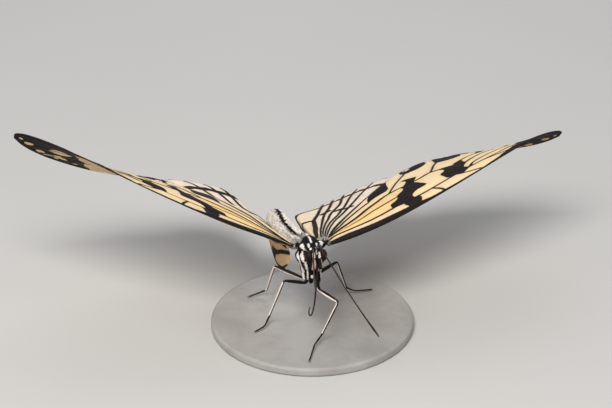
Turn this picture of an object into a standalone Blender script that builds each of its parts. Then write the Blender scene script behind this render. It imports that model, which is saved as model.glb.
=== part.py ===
"""Paper kite butterfly (Idea leuconoe), life size, feeding with open wings on a small display base.

Metres, +Z up. The butterfly faces -Y and its left wings are at +X. It is modelled round the middle of
its wing roots, then the whole model is moved so that the origin is under the middle of its box.
"""

from math import cos, pi, radians, sin

import bmesh
import bpy
from mathutils import Matrix, Vector

MM = 0.001
GAP = 0.3 * MM

# The display base: a plain disc that the feet stand on.
BASE_RADIUS = 22 * MM
BASE_THICKNESS = 2.0 * MM
BASE_EDGE = 0.5 * MM
BASE_CENTRE = Vector((0.5 * MM, 2.0 * MM, 0))

# The feet stand at FOOT_LEVEL, and the wing roots are ROOT_HEIGHT above that.
FOOT_LEVEL = BASE_THICKNESS + GAP
ROOT_HEIGHT = 18 * MM
ROOT_LEVEL = FOOT_LEVEL + ROOT_HEIGHT

# Wings. Outlines are in parts of the forewing's length, x along the wing, y towards its rear edge.
WING_LENGTH = 68 * MM
WING_THICKNESS = 0.5 * MM
WING_ROOT_X = 2.9 * MM
WING_START = 0.012
FOREWING_FRONT = ((0, 0), (0.1, -0.022), (0.25, -0.044), (0.45, -0.054), (0.65, -0.05),
                  (0.8, -0.032), (0.9, -0.008), (0.955, 0.014), (0.988, 0.045), (0.995, 0.08))
FOREWING_REAR = ((0, 0.03), (0.05, 0.06), (0.2, 0.175), (0.36, 0.285), (0.48, 0.352), (0.56, 0.385),
                 (0.61, 0.39), (0.64, 0.378), (0.71, 0.34), (0.78, 0.295), (0.85, 0.245),
                 (0.92, 0.19), (0.97, 0.135), (0.995, 0.085))
# The hindwing's outline: distance from the root at each angle behind the forewing's axis, in degrees.
HINDWING_RIM = ((20, 0.5), (23, 0.62), (28, 0.68), (34, 0.71), (40, 0.715), (46, 0.70), (52, 0.65),
                (58, 0.575), (64, 0.50), (70, 0.44), (75, 0.40), (80, 0.33), (86, 0.24), (92, 0.17))
HINDWING_START = 0.1
HINDWING_DROP = 1.2 * MM
INNER_EDGE_SLOPE = 0.75
# Its fold beside the body bends over FOLD_BEND, and is tucked under from TUCK_START outwards.
FOLD_BEND = 1.2 * MM
TUCK_START = 0.16
TUCK_WIDTH = 0.06

# Each side's pose: angles in degrees, arches and rise in parts of the wing's length. The camber is full
# from camber_start outwards, and behind curl_start the wing's surface rises by curl. The fold hangs along
# fold_drop, and where it is tucked, along fold_tuck.
LEFT = {
    "side": 1, "sweep": 25.0, "dihedral": 8.2, "incidence": 24.7, "twist": 21.3, "twist_start": 0.5,
    "arch": 0.019, "wave": -0.015, "camber": 0.07, "camber_start": 0.01, "rise": 0.225,
    "curl": 1.0 * MM, "curl_start": 0.18, "curl_width": 0.2,
    "fold_angle": 75.0, "fold_drop": (0.12, -0.1, -1.0), "fold_tuck": (0.12, 0.1, -1.0),
}
RIGHT = {
    "side": -1, "sweep": 27.2, "dihedral": 16.7, "incidence": 22.9, "twist": 28.4, "twist_start": 0.12,
    "arch": -0.001, "wave": 0.0, "camber": 0.05, "camber_start": 0.2, "rise": 0.06,
    "curl": 3.6 * MM, "curl_start": 0.3, "curl_width": 0.22,
    "fold_angle": 54.0, "fold_drop": (-0.02, -0.4, -1.0), "fold_tuck": (0.02, 0.88, -0.48),
}

# Body, measured from the middle of the wing roots.
BODY_PITCH = radians(12)
THORAX_CENTRE = Vector((-0.1, 0.9, -2.0)) * MM
THORAX_HALF = Vector((3.4, 4.6, 4.1)) * MM
THORAX_KEEL = 0.38
THORAX_SHOULDER = 0.24
HEAD_CENTRE = Vector((0, -5.3, 0.9)) * MM
HEAD_HALF = Vector((1.6, 1.5, 1.8)) * MM
EYE_OFFSET = Vector((1.48, -0.1, 0.1)) * MM
EYE_HALF = Vector((0.88, 1.2, 1.35)) * MM
ABDOMEN_PATH = ((-0.6, 6.3, -1.8), (-1.7, 8.6, -2.5), (-2.5, 11.5, -3.0), (-3.1, 15.0, -3.6),
                (-3.5, 19.0, -4.2), (-3.7, 23.0, -4.9), (-3.8, 26.2, -5.8))
ABDOMEN_RADIUS = 2.15 * MM
ABDOMEN_SEGMENTS = 8
ABDOMEN_WAIST = 0.05

# Limbs and mouthparts: joints in millimetres from the wing roots' middle, but legs from the feet's level.
FOOT_RADIUS = 0.27
LEGS = {
    "midleg_left": ((0.7, -1.2, 11.9), (1.0, -3.0, 9.3), (3.9, -10.4, 10.1), (0.7, -8.4, 1.2),
                    (-1.4, -11.4, 0.7), (-3.4, -16.7, 0.2)),
    "midleg_right": ((-0.7, -0.9, 11.9), (-1.4, -0.9, 10.0), (-6.6, -3.5, 12.5), (-9.2, 0.9, 1.5),
                     (-10.5, -1.4, 0.5), (-12.6, -2.7, 0.2)),
    "hindleg_left": ((0.75, 2.4, 11.75), (1.5, 2.4, 10.1), (6.2, 3.7, 12.0), (9.7, 10.8, 1.2),
                     (11.4, 10.3, 0.6), (15.2, 10.9, 0.2)),
    "hindleg_right": ((-0.8, 2.4, 11.7), (-1.5, 2.2, 9.5), (-7.3, 5.0, 11.5), (-7.8, 13.0, 1.2),
                      (-9.2, 13.2, 0.6), (-11.6, 12.6, 0.2)),
}
LEG_RADII = (0.6, 0.48, 0.38, 0.3, 0.27, FOOT_RADIUS)
FORELEG_JOINTS = ((0.8, -3.0, -5.9), (0.8, -3.7, -6.4), (0.75, -4.7, -4.9), (0.7, -4.6, -3.4))
FORELEG_RADII = (0.4, 0.42, 0.3, 0.25)
ANTENNA_LEFT = ((0.8, -6.3, 2.8), (2.0, -8.9, 1.6), (4.5, -13.9, -2.2), (7.5, -19.4, -6.2),
                (10.0, -24.0, -9.2))
ANTENNA_RIGHT = ((-0.75, -6.2, 2.8), (-1.3, -9.5, 4.0), (-2.4, -16.0, 5.2), (-3.5, -23.0, 5.8),
                 (-4.2, -28.5, 6.1))
ANTENNA_RADII = (0.3, 0.26, 0.26, 0.3, 0.4)
PROBOSCIS = ((0.1, -6.2, -1.8), (0.1, -5.9, -4.5), (-0.05, -5.2, -8.0), (-0.25, -4.6, -11.5),
             (-0.7, -4.3, -13.8), (-1.15, -4.3, -14.1), (-1.35, -4.2, -13.2), (-1.1, -4.1, -12.2))
PROBOSCIS_RADII = (0.36, 0.32, 0.29, 0.27, 0.26, 0.26, 0.25, 0.25)
PALP = ((0.85, -6.5, -1.1), (0.95, -7.5, -0.9), (0.9, -7.9, 0.2), (0.8, -7.8, 1.3))
PALP_RADII = (0.3, 0.42, 0.36, 0.25)

COLOURS = {
    "black": (0.02, 0.018, 0.02), "dark": (0.05, 0.035, 0.03), "cream": (0.85, 0.72, 0.45),
    "white": (0.8, 0.77, 0.7), "eye": (0.03, 0.02, 0.02), "base": (0.3, 0.29, 0.28),
}


def clear_scene():
    for obj in list(bpy.data.objects):
        bpy.data.objects.remove(obj, do_unlink=True)


def collection(name, hidden=False):
    made = bpy.data.collections.new(name)
    bpy.context.scene.collection.children.link(made)
    made.hide_render = hidden
    return made


def material(name, colour, roughness=0.6, metallic=0.0):
    made = bpy.data.materials.new(name)
    made.use_nodes = True
    shader = made.node_tree.nodes["Principled BSDF"]
    shader.inputs["Base Color"].default_value = (*COLOURS[colour], 1)
    shader.inputs["Roughness"].default_value = roughness
    shader.inputs["Metallic"].default_value = metallic
    return made


def add_object(name, data, colour, roughness=0.6):
    obj = bpy.data.objects.new(name, data)
    PARTS.objects.link(obj)
    data.materials.append(material(name + "_finish", colour, roughness))
    return obj


def mesh_object(name, bm, colour, roughness=0.6):
    mesh = bpy.data.meshes.new(name)
    bmesh.ops.recalc_face_normals(bm, faces=bm.faces)
    bm.to_mesh(mesh)
    bm.free()
    mesh.shade_smooth()
    return add_object(name, mesh, colour, roughness)


def from_root(point):
    """A place given in millimetres from the middle of the wing roots."""
    return Vector(point) * MM + Vector((0, 0, ROOT_LEVEL))


def from_feet(point):
    """A place given in millimetres with its height over the feet's level."""
    return Vector(point) * MM + Vector((0, 0, FOOT_LEVEL))


def smooth_path(points, steps):
    """Points on a smooth curve through the given ones, with so many steps between each two."""
    points = [Vector(p) for p in points]
    ends = [2 * points[0] - points[1], *points, 2 * points[-1] - points[-2]]
    path = []
    for a, b, c, d in zip(ends, ends[1:], ends[2:], ends[3:]):
        for k in range(steps):
            t = k / steps
            bend = (2 * a - 5 * b + 4 * c - d) * t * t + (3 * b - a - 3 * c + d) * t ** 3
            path.append((2 * b + (c - a) * t + bend) / 2)
    return path + [points[-1]]


def read_off(path, x):
    """The height of a path of flat points at x, where x runs one way along it."""
    for a, b in zip(path, path[1:]):
        if a.x <= x <= b.x:
            return a.y + (b.y - a.y) * (x - a.x) / max(b.x - a.x, 1e-9)
    return path[-1].y if x > path[-1].x else path[0].y


def eased(value):
    """0 to 1, with level ends, as the value runs from 0 to 1."""
    value = min(max(value, 0), 1)
    return value * value * (3 - 2 * value)


def wing_axes(pose, x):
    """Along the wing, towards its rear edge, and out of its upper face, at x."""
    sweep = radians(pose["sweep"])
    rise = radians(pose["dihedral"])
    along = Vector((cos(rise) * cos(sweep), cos(rise) * sin(sweep), sin(rise)))
    level = Vector((-sin(sweep), cos(sweep), 0))
    upper = along.cross(level)
    past = min(max((x - pose["twist_start"]) / (1 - pose["twist_start"]), 0), 1.1)
    tip = radians(pose["incidence"] + pose["twist"] * past * past)
    rear = cos(tip) * level - sin(tip) * upper
    return along, rear, upper, sin(tip) * level + cos(tip) * upper


def on_forewing(pose, x, y, under=0.0):
    """A place on the forewing's middle surface, or so far under it, for the outline's x and y."""
    along, rear, upper, face = wing_axes(pose, x)
    lift = pose["arch"] * 4 * x * (1 - x) + pose["wave"] * 10 * x * (1 - x) * (1 - 2 * x)
    camber = pose["camber"] * max(1 - x, 0) * min(x / pose["camber_start"], 1)
    bulge = camber * 10 * y * (0.4 - y)
    place = (x * along + y * rear + lift * upper + bulge * face) * WING_LENGTH
    place += Vector((WING_ROOT_X, 0, ROOT_LEVEL)) - under * face
    place.z += pose["curl"] * eased((y - pose["curl_start"]) / pose["curl_width"])
    place.x *= pose["side"]
    return place


def on_hindwing_plain(pose, distance, angle):
    """A place on the hindwing, before the fold beside the body."""
    x = distance * cos(radians(angle))
    y = distance * sin(radians(angle))
    place = on_forewing(pose, x, y, HINDWING_DROP)
    place.z += pose["rise"] * WING_LENGTH * max(0, y - INNER_EDGE_SLOPE * x)
    return place


def on_hindwing(pose, distance, angle):
    """A place on the hindwing, whose inner part folds down beside the abdomen."""
    fold_angle = pose["fold_angle"]
    past = radians(angle - fold_angle)
    if past <= 0:
        return on_hindwing_plain(pose, distance, angle)
    along = distance * cos(past)
    over = distance * sin(past) * WING_LENGTH
    crease = on_hindwing_plain(pose, along, fold_angle)
    near = on_hindwing_plain(pose, along, fold_angle - 2)
    flat = (crease - near).normalized()
    tucked = eased((along - TUCK_START) / TUCK_WIDTH)
    down = Vector(pose["fold_drop"]).lerp(Vector(pose["fold_tuck"]), tucked).normalized()
    down.x *= pose["side"]
    turn = over / FOLD_BEND
    bent = FOLD_BEND * (turn ** 3 - turn ** 4 / 2) if turn < 1 else over - FOLD_BEND / 2
    return crease + flat * (over - bent) + down * bent


def sheet(name, rows, colour):
    """A wing: an open grid of places, thickened evenly to both sides."""
    bm = bmesh.new()
    grid = [[bm.verts.new(p) for p in row] for row in rows]
    for low, high in zip(grid, grid[1:]):
        for k in range(len(low) - 1):
            bm.faces.new((low[k], low[k + 1], high[k + 1], high[k]))
    wing = mesh_object(name, bm, colour, 0.7)
    solid = wing.modifiers.new("thickness", "SOLIDIFY")
    solid.thickness = WING_THICKNESS
    solid.offset = 0
    return wing


def forewing(name, pose, stations=26, across=7):
    front = smooth_path([(*p, 0) for p in FOREWING_FRONT], 6)
    rear = smooth_path([(*p, 0) for p in FOREWING_REAR], 6)
    tip = FOREWING_FRONT[-1][0]
    rows = []
    for i in range(stations + 1):
        x = WING_START + (tip - WING_START) * sin(pi / 2 * i / stations)
        low = read_off(front, x)
        high = read_off(rear, x)
        rows.append([on_forewing(pose, x, low + (high - low) * k / across) for k in range(across + 1)])
    return sheet(name, rows, "cream")


def hindwing(name, pose, stations=24, across=8):
    rim = smooth_path([(*p, 0) for p in HINDWING_RIM], 6)
    first = HINDWING_RIM[0][0]
    last = HINDWING_RIM[-1][0]
    rows = []
    for i in range(stations + 1):
        angle = first + (last - first) * i / stations
        reach = read_off(rim, angle)
        row = [HINDWING_START + (reach - HINDWING_START) * k / across for k in range(across + 1)]
        rows.append([on_hindwing(pose, distance, angle) for distance in row])
    return sheet(name, rows, "white")


def tube(name, path, radii, colour, sides=4):
    """A round limb along a path, its radius eased between the values given along it."""
    curve = bpy.data.curves.new(name, "CURVE")
    curve.dimensions = "3D"
    curve.bevel_depth = MM
    curve.bevel_resolution = sides // 2
    curve.use_fill_caps = True
    spline = curve.splines.new("POLY")
    spline.points.add(len(path) - 1)
    for k, place in enumerate(path):
        along = k / (len(path) - 1) * (len(radii) - 1)
        low = min(int(along), len(radii) - 2)
        spline.points[k].co = (*place, 1)
        spline.points[k].radius = radii[low] + (radii[low + 1] - radii[low]) * (along - low)
    return add_object(name, curve, colour, 0.5)


def as_mesh(obj):
    """Turns a tube into a closed mesh, so that it can be cut."""
    graph = bpy.context.evaluated_depsgraph_get()
    mesh = bpy.data.meshes.new_from_object(obj.evaluated_get(graph))
    bm = bmesh.new()
    bm.from_mesh(mesh)
    bmesh.ops.remove_doubles(bm, verts=bm.verts, dist=0.00001)
    bmesh.ops.recalc_face_normals(bm, faces=bm.faces)
    bm.to_mesh(mesh)
    bm.free()
    name = obj.name
    old = obj.data
    bpy.data.objects.remove(obj)
    bpy.data.curves.remove(old)
    made = bpy.data.objects.new(name, mesh)
    mesh.name = name
    PARTS.objects.link(made)
    return made


def cut(obj, cutter):
    """Takes the cutter's shape out of an object."""
    trim = obj.modifiers.new("cut", "BOOLEAN")
    trim.operation = "DIFFERENCE"
    trim.solver = "EXACT"
    trim.object = cutter


def floor_cutter():
    """What lies under the feet's level, which gives each foot a small flat."""
    bm = bmesh.new()
    depth = 4 * MM
    place = Matrix.Translation((0, 0, FOOT_LEVEL - depth / 2))
    bmesh.ops.create_cube(bm, size=1, matrix=place @ Matrix.Diagonal((0.1, 0.1, depth, 1)))
    mesh = bpy.data.meshes.new("under_feet")
    bm.to_mesh(mesh)
    bm.free()
    cutter = bpy.data.objects.new("under_feet", mesh)
    cutter.display_type = "WIRE"
    cutter.hide_render = True
    HELPERS.objects.link(cutter)
    return cutter


def leg_path(joints, corner=0.8):
    """A leg's path: straight segments with a short rounded turn at each joint."""
    joints = [Vector(j) for j in joints]
    path = [joints[0]]
    for before, here, after in zip(joints, joints[1:], joints[2:]):
        back = (before - here).normalized()
        on = (after - here).normalized()
        path.append((path[-1] + here + back * corner) / 2)
        path.append(here + back * corner)
        path.append(here + (back + on) * corner * 0.3)
        path.append(here + on * corner)
    path.append((path[-1] + joints[-1]) / 2)
    path.append(joints[-1])
    return path


def legs(cutter):
    """Four walking legs, each from under the thorax out to a flat foot."""
    for name, joints in LEGS.items():
        path = [from_feet(p) for p in leg_path(joints)]
        leg = as_mesh(tube(name, path, LEG_RADII, "black"))
        cut(leg, cutter)


def mirrored(points, side):
    return [(side * x, y, z) for x, y, z in points]


def small_limbs():
    """The folded forelegs, the palps, the antennae and the proboscis."""
    for word, side in (("left", 1), ("right", -1)):
        foreleg = [from_root(p) for p in smooth_path(mirrored(FORELEG_JOINTS, side), 3)]
        tube("foreleg_" + word, foreleg, FORELEG_RADII, "white")
        palp = [from_root(p) for p in smooth_path(mirrored(PALP, side), 3)]
        tube("palp_" + word, palp, PALP_RADII, "white")
    for name, points in (("antenna_left", ANTENNA_LEFT), ("antenna_right", ANTENNA_RIGHT)):
        tube(name, [from_root(p) for p in smooth_path(points, 4)], ANTENNA_RADII, "dark")
    tube("proboscis", [from_root(p) for p in smooth_path(PROBOSCIS, 4)], PROBOSCIS_RADII, "dark")


def ellipsoid(name, centre, half, colour, shape=None, segments=20, rings=12, turn=0.0, roughness=0.6):
    """A rounded body piece, turned about X, with an optional change of its form."""
    bm = bmesh.new()
    bmesh.ops.create_uvsphere(bm, u_segments=segments, v_segments=rings, radius=1)
    for vert in bm.verts:
        if shape:
            shape(vert.co)
        vert.co = Vector((vert.co.x * half.x, vert.co.y * half.y, vert.co.z * half.z))
    bm.transform(Matrix.Translation(centre) @ Matrix.Rotation(turn, 4, "X"))
    return mesh_object(name, bm, colour, roughness)


def thorax_form(place):
    """Blunter ends than a ball, narrower underneath, towards the legs, and on top, between the wings."""
    place.y *= 1 + 0.12 * (1 - place.y * place.y)
    place.x *= 1 - THORAX_KEEL * max(0, -place.z) ** 1.3 - THORAX_SHOULDER * eased(place.z / 0.35 + 0.2)


def body():
    pitch = -BODY_PITCH
    ellipsoid("thorax", from_root(THORAX_CENTRE / MM), THORAX_HALF, "black", thorax_form, turn=pitch)
    head_at = from_root(HEAD_CENTRE / MM)
    head = ellipsoid("head", head_at, HEAD_HALF, "black", turn=pitch, segments=18, rings=12)
    for word, side in (("left", 1), ("right", -1)):
        offset = Vector((side * EYE_OFFSET.x, EYE_OFFSET.y, EYE_OFFSET.z))
        ellipsoid("eye_" + word, head_at + offset, EYE_HALF, "eye", segments=18, rings=12, roughness=0.2)
        grown = EYE_HALF + Vector((GAP, GAP, GAP))
        socket = ellipsoid("socket_" + word, head_at + offset, grown, "eye", segments=18, rings=12)
        PARTS.objects.unlink(socket)
        HELPERS.objects.link(socket)
        socket.hide_render = True
        socket.display_type = "WIRE"
        cut(head, socket)


def abdomen_radii(count):
    """A blunt cigar, drawn in a little between its segments."""
    radii = []
    for k in range(count):
        t = k / (count - 1)
        form = min(1, 0.55 + 2.2 * t) * min(1, ((1 - t) * 7.5 + 0.06)) ** 0.5
        pinch = 1 - ABDOMEN_WAIST * (0.5 + 0.5 * cos(2 * pi * t * ABDOMEN_SEGMENTS))
        radii.append(ABDOMEN_RADIUS / MM * form * pinch)
    return radii


def abdomen():
    path = [from_root(p) for p in smooth_path(ABDOMEN_PATH, 5)]
    tube("abdomen", path, abdomen_radii(len(path)), "white", sides=10)


def stand():
    bm = bmesh.new()
    place = Matrix.Translation(BASE_CENTRE + Vector((0, 0, BASE_THICKNESS / 2)))
    bmesh.ops.create_cone(bm, cap_ends=True, segments=64, radius1=BASE_RADIUS, radius2=BASE_RADIUS,
                          depth=BASE_THICKNESS, matrix=place)
    disc = mesh_object("stand_base", bm, "base", 0.5)
    disc.data.set_sharp_from_angle(angle=radians(40))
    edge = disc.modifiers.new("edge", "BEVEL")
    edge.width = BASE_EDGE
    edge.segments = 2
    edge.limit_method = "ANGLE"


def centre_on_origin():
    """Moves everything so that the origin is under the middle of the model's box."""
    bpy.context.view_layer.update()
    graph = bpy.context.evaluated_depsgraph_get()
    places = []
    for obj in PARTS.objects:
        held = obj.evaluated_get(graph)
        mesh = held.to_mesh()
        places += [held.matrix_world @ v.co for v in mesh.vertices]
        held.to_mesh_clear()
    middle = [(min(p[k] for p in places) + max(p[k] for p in places)) / 2 for k in (0, 1)]
    for obj in [*PARTS.objects, *HELPERS.objects]:
        obj.location -= Vector((*middle, 0))


clear_scene()
PARTS = collection("paper_kite_butterfly")
HELPERS = collection("cutters", hidden=True)
stand()
body()
abdomen()
small_limbs()
legs(floor_cutter())
for word, pose in (("left", LEFT), ("right", RIGHT)):
    forewing("forewing_" + word, pose)
    hindwing("hindwing_" + word, pose)
centre_on_origin()
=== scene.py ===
"""Paper kite butterfly (Idea leuconoe), life size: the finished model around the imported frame.

Metres, +Z up. The butterfly faces -Y and its left wings are at +X. Places on the body are given in
millimetres from the middle of the wing roots, and places on a wing in parts of the forewing's length:
x along the wing, y towards its rear edge, or on the hindwing a distance and an angle in degrees.
"""

from math import cos, pi, radians, sin, tau

import bpy
import numpy as np
from mathutils import Matrix, Vector


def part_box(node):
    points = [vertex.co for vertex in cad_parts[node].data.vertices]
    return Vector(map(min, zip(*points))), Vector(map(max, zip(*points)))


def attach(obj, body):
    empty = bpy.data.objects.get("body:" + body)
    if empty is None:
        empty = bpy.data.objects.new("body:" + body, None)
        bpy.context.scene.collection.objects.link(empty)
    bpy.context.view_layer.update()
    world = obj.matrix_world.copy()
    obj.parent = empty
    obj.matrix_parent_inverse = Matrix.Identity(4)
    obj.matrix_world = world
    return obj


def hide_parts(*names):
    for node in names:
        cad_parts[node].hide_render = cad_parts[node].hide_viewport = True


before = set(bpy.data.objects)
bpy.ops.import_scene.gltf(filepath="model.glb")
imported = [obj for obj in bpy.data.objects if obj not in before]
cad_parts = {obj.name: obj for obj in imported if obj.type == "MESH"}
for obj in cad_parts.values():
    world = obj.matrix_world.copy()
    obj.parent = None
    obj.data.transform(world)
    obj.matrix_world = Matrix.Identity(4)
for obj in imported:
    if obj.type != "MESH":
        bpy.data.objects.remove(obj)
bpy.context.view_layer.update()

MM = 0.001

# The body's frame: where the middle of the wing roots and the feet's level are.
BASE_LOW, BASE_HIGH = (np.array(corner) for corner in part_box("stand_base"))
BASE_MIDDLE = (BASE_LOW + BASE_HIGH) / 2
SHIFT = np.array([BASE_MIDDLE[0] - 0.5 * MM, BASE_MIDDLE[1] - 2.0 * MM, 0])
FOOT_LEVEL = 2.3 * MM
ROOT = SHIFT + [0, 0, FOOT_LEVEL + 18 * MM]

# Wings, as the solids have them.
WING_LENGTH = 68 * MM
WING_ROOT_X = 2.9 * MM
WING_START = 0.012
FOREWING_FRONT = ((0, 0), (0.1, -0.022), (0.25, -0.044), (0.45, -0.054), (0.65, -0.05),
                  (0.8, -0.032), (0.9, -0.008), (0.955, 0.014), (0.988, 0.045), (0.995, 0.08))
FOREWING_REAR = ((0, 0.03), (0.05, 0.06), (0.2, 0.175), (0.36, 0.285), (0.48, 0.352), (0.56, 0.385),
                 (0.61, 0.39), (0.64, 0.378), (0.71, 0.34), (0.78, 0.295), (0.85, 0.245),
                 (0.92, 0.19), (0.97, 0.135), (0.995, 0.085))
HINDWING_RIM = ((20, 0.5), (23, 0.62), (28, 0.68), (34, 0.71), (40, 0.715), (46, 0.70), (52, 0.65),
                (58, 0.575), (64, 0.50), (70, 0.44), (75, 0.40), (80, 0.33), (86, 0.24), (92, 0.17))
HINDWING_START = 0.08
HINDWING_DROP = 1.2 * MM
INNER_EDGE_SLOPE = 0.75
FOLD_BEND = 1.2 * MM
TUCK_START = 0.16
TUCK_WIDTH = 0.06
# How each side's wings are held: angles in degrees, and places on the chart in its own measure.
# The last key of each: how much painted shade and painted warm reflected light darken the forewing's
# underside to tan.
LEFT = {
    "side": 1, "sweep": 25.0, "dihedral": 8.2, "incidence": 24.7, "twist": 21.3, "twist_start": 0.5,
    "arch": 0.019, "wave": -0.015, "camber": 0.07, "camber_start": 0.01, "rise": 0.225,
    "curl": 1.0 * MM, "curl_start": 0.18, "curl_width": 0.2,
    "fold_angle": 75.0, "fold_drop": (0.12, -0.1, -1.0), "fold_tuck": (0.12, 0.1, -1.0),
    "inward": 0.0, "lean": 0.0, "sag": 0.0, "underside_painted_shade": 1.0,
}
RIGHT = {
    "side": -1, "sweep": 27.2, "dihedral": 16.7, "incidence": 22.9, "twist": 28.4, "twist_start": 0.12,
    "arch": -0.001, "wave": 0.0, "camber": 0.05, "camber_start": 0.2, "rise": 0.06,
    "curl": 3.6 * MM, "curl_start": 0.3, "curl_width": 0.22,
    "fold_angle": 54.0, "fold_drop": (-0.02, -0.4, -1.0), "fold_tuck": (0.02, 0.88, -0.48),
    "inward": 0.06, "lean": 0.3, "sag": 0.045, "underside_painted_shade": 0.2,
}
# Half the wings' thickness, inside and at the margin, how high their skin arches between veins, how
# many millimetres from a vein it does so, and how far the whole is set back for it.
MEMBRANE = 0.11 * MM
MARGIN_MEMBRANE = 0.05 * MM
PLEAT = 0.16 * MM
PLEAT_WIDTH = 1.3
PLEAT_SET_BACK = 0.06 * MM
# How many places the wings' grids have along and across, and how many thin out at the margin.
FOREWING_GRID = (300, 100)
HINDWING_GRID = (240, 100)
MARGIN_STEPS = 6

# The body, as the solids have it.
BODY_PITCH = radians(12)
THORAX_CENTRE = np.array([-0.1, 0.9, -2.0])
THORAX_HALF = np.array([3.4, 4.6, 4.1])
THORAX_KEEL = 0.38
THORAX_SHOULDER = 0.24
HEAD_CENTRE = np.array([0, -5.3, 0.9])
HEAD_HALF = np.array([1.6, 1.5, 1.8])
EYE_OFFSET = np.array([1.48, -0.1, 0.1])
EYE_HALF = np.array([0.88, 1.2, 1.35])
ABDOMEN_PATH = ((-0.6, 6.3, -1.8), (-1.7, 8.6, -2.5), (-2.5, 11.5, -3.0), (-3.1, 15.0, -3.6),
                (-3.5, 19.0, -4.2), (-3.7, 23.0, -4.9), (-3.8, 26.2, -5.8))
ABDOMEN_RADIUS = 2.15
ABDOMEN_SEGMENTS = 8
# Where the head's fur gives way to the thorax's, and that to the abdomen's, as places along Y.
NECK_Y = -3.9
WAIST_Y = 5.8

# The view: its size in pixels, where the wing roots lie in it, and how it looks at them.
VIEW_SIZE = (612, 408)
ROOT_IN_VIEW = (311.62, 247.71)
PIXELS_PER_MM = 4.68
CAMERA_AWAY = 0.6
CAMERA_TURN = radians(10.0)
CAMERA_DOWN = radians(28.5)
SENSOR_WIDTH = 36


# --- Lines and distances -----------------------------------------------------------------------------

def smooth_line(points, steps=6):
    """Places on a smooth curve through the given ones, with so many steps between each two."""
    points = np.asarray(points, float)
    ends = np.vstack([2 * points[:1] - points[1:2], points, 2 * points[-1:] - points[-2:-1]])
    t = np.arange(steps)[:, None] / steps
    parts = []
    for a, b, c, d in zip(ends, ends[1:], ends[2:], ends[3:]):
        bend = (2 * a - 5 * b + 4 * c - d) * t ** 2 + (3 * b - a - 3 * c + d) * t ** 3
        parts.append((2 * b + (c - a) * t + bend) / 2)
    return np.vstack([*parts, points[-1:]])


def spread(values, count):
    """The values, eased evenly over so many stations."""
    values = np.asarray(values, float)
    return np.interp(np.linspace(0, len(values) - 1, count), np.arange(len(values)), values)


def distance_to_line(places, line, widths=0.0):
    """Each place's distance to a line, less the line's half width there."""
    widths = np.broadcast_to(np.asarray(widths, float), (len(line),))
    best = np.full(len(places), np.inf)
    for k in range(len(line) - 1):
        along = line[k + 1] - line[k]
        from_start = places - line[k]
        t = np.clip(from_start @ along / max(along @ along, 1e-12), 0, 1)
        gap = np.linalg.norm(from_start - t[:, None] * along, axis=1)
        best = np.minimum(best, gap - widths[k] - (widths[k + 1] - widths[k]) * t)
    return best


def is_inside(places, outline):
    """Whether each place lies inside a closed outline."""
    x, y = places.T
    crossed = np.zeros(len(places), bool)
    for a, b in zip(outline, np.roll(outline, -1, axis=0)):
        if a[1] == b[1]:
            continue
        spans = (a[1] > y) != (b[1] > y)
        crossed ^= spans & (x < a[0] + (b[0] - a[0]) * (y - a[1]) / (b[1] - a[1]))
    return crossed


def blotch_depth(places, outline):
    """How deep each place lies inside a closed smooth outline, and less than nothing outside it."""
    outline = np.asarray(outline, float)
    closed = smooth_line(np.vstack([outline, outline[:1]]), steps=3)
    edge = distance_to_line(places, closed)
    return np.where(is_inside(places, closed[:-1]), edge, -edge)


def eased(value):
    """0 to 1 with soft ends, as the value goes from 0 to 1."""
    value = np.clip(value, 0, 1)
    return value * value * (3 - 2 * value)


# --- Materials ---------------------------------------------------------------------------------------

def node(tree, kind, inputs=(), **settings):
    """Adds a node. Its inputs are given by name or number, as values or as other nodes' sockets."""
    made = tree.nodes.new(kind)
    for name, value in settings.items():
        setattr(made, name, value)
    for key, value in dict(inputs).items():
        if isinstance(value, bpy.types.NodeSocket):
            tree.links.new(value, made.inputs[key])
        else:
            made.inputs[key].default_value = value
    return made


def calc(tree, operation, first, second=0.0, third=0.0):
    return node(tree, "ShaderNodeMath", {0: first, 1: second, 2: third}, operation=operation).outputs[0]


def blend_colour(tree, factor, first, second):
    """From the first colour to the second as the factor goes from 0 to 1."""
    colours = {key: value if isinstance(value, bpy.types.NodeSocket) else (*value, 1)
               for key, value in ((6, first), (7, second))}
    return node(tree, "ShaderNodeMix", {0: factor, **colours}, data_type="RGBA").outputs[2]


def between(tree, value, low, high, to_low=0.0, to_high=1.0):
    """0 to 1, eased, as the value goes from low to high."""
    given = {"Value": value, 1: low, 2: high, 3: to_low, 4: to_high}
    return node(tree, "ShaderNodeMapRange", given, interpolation_type="SMOOTHSTEP").outputs[0]


def noise(tree, place, per_mm, detail=2.0, rough=0.5):
    given = {"Vector": place, "Scale": per_mm, "Detail": detail, "Roughness": rough}
    return node(tree, "ShaderNodeTexNoise", given).outputs["Fac"]


def object_place(tree, scale=(1000.0, 1000.0, 1000.0)):
    """Object coordinates in millimetres."""
    place = node(tree, "ShaderNodeTexCoord").outputs["Object"]
    return node(tree, "ShaderNodeMapping", {"Vector": place, "Scale": scale}).outputs[0]


def attribute(tree, name):
    return node(tree, "ShaderNodeAttribute", attribute_name=name).outputs["Fac"]


def group(name, inputs, outputs):
    """A shader node group with named inputs and their usual values."""
    tree = bpy.data.node_groups.new(name, "ShaderNodeTree")
    for label, value in inputs.items():
        kind = {float: "NodeSocketFloat", tuple: "NodeSocketColor", type(None): "NodeSocketVector"}
        socket = tree.interface.new_socket(label, in_out="INPUT", socket_type=kind[type(value)])
        if value is not None:
            socket.default_value = value
    for label in outputs:
        tree.interface.new_socket(label, in_out="OUTPUT", socket_type="NodeSocketFloat")
    return tree, node(tree, "NodeGroupInput").outputs, node(tree, "NodeGroupOutput").inputs


def placed(tree, shared, inputs):
    """A shared node group, placed in a material's tree."""
    return node(tree, "ShaderNodeGroup", inputs, node_tree=shared).outputs


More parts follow.
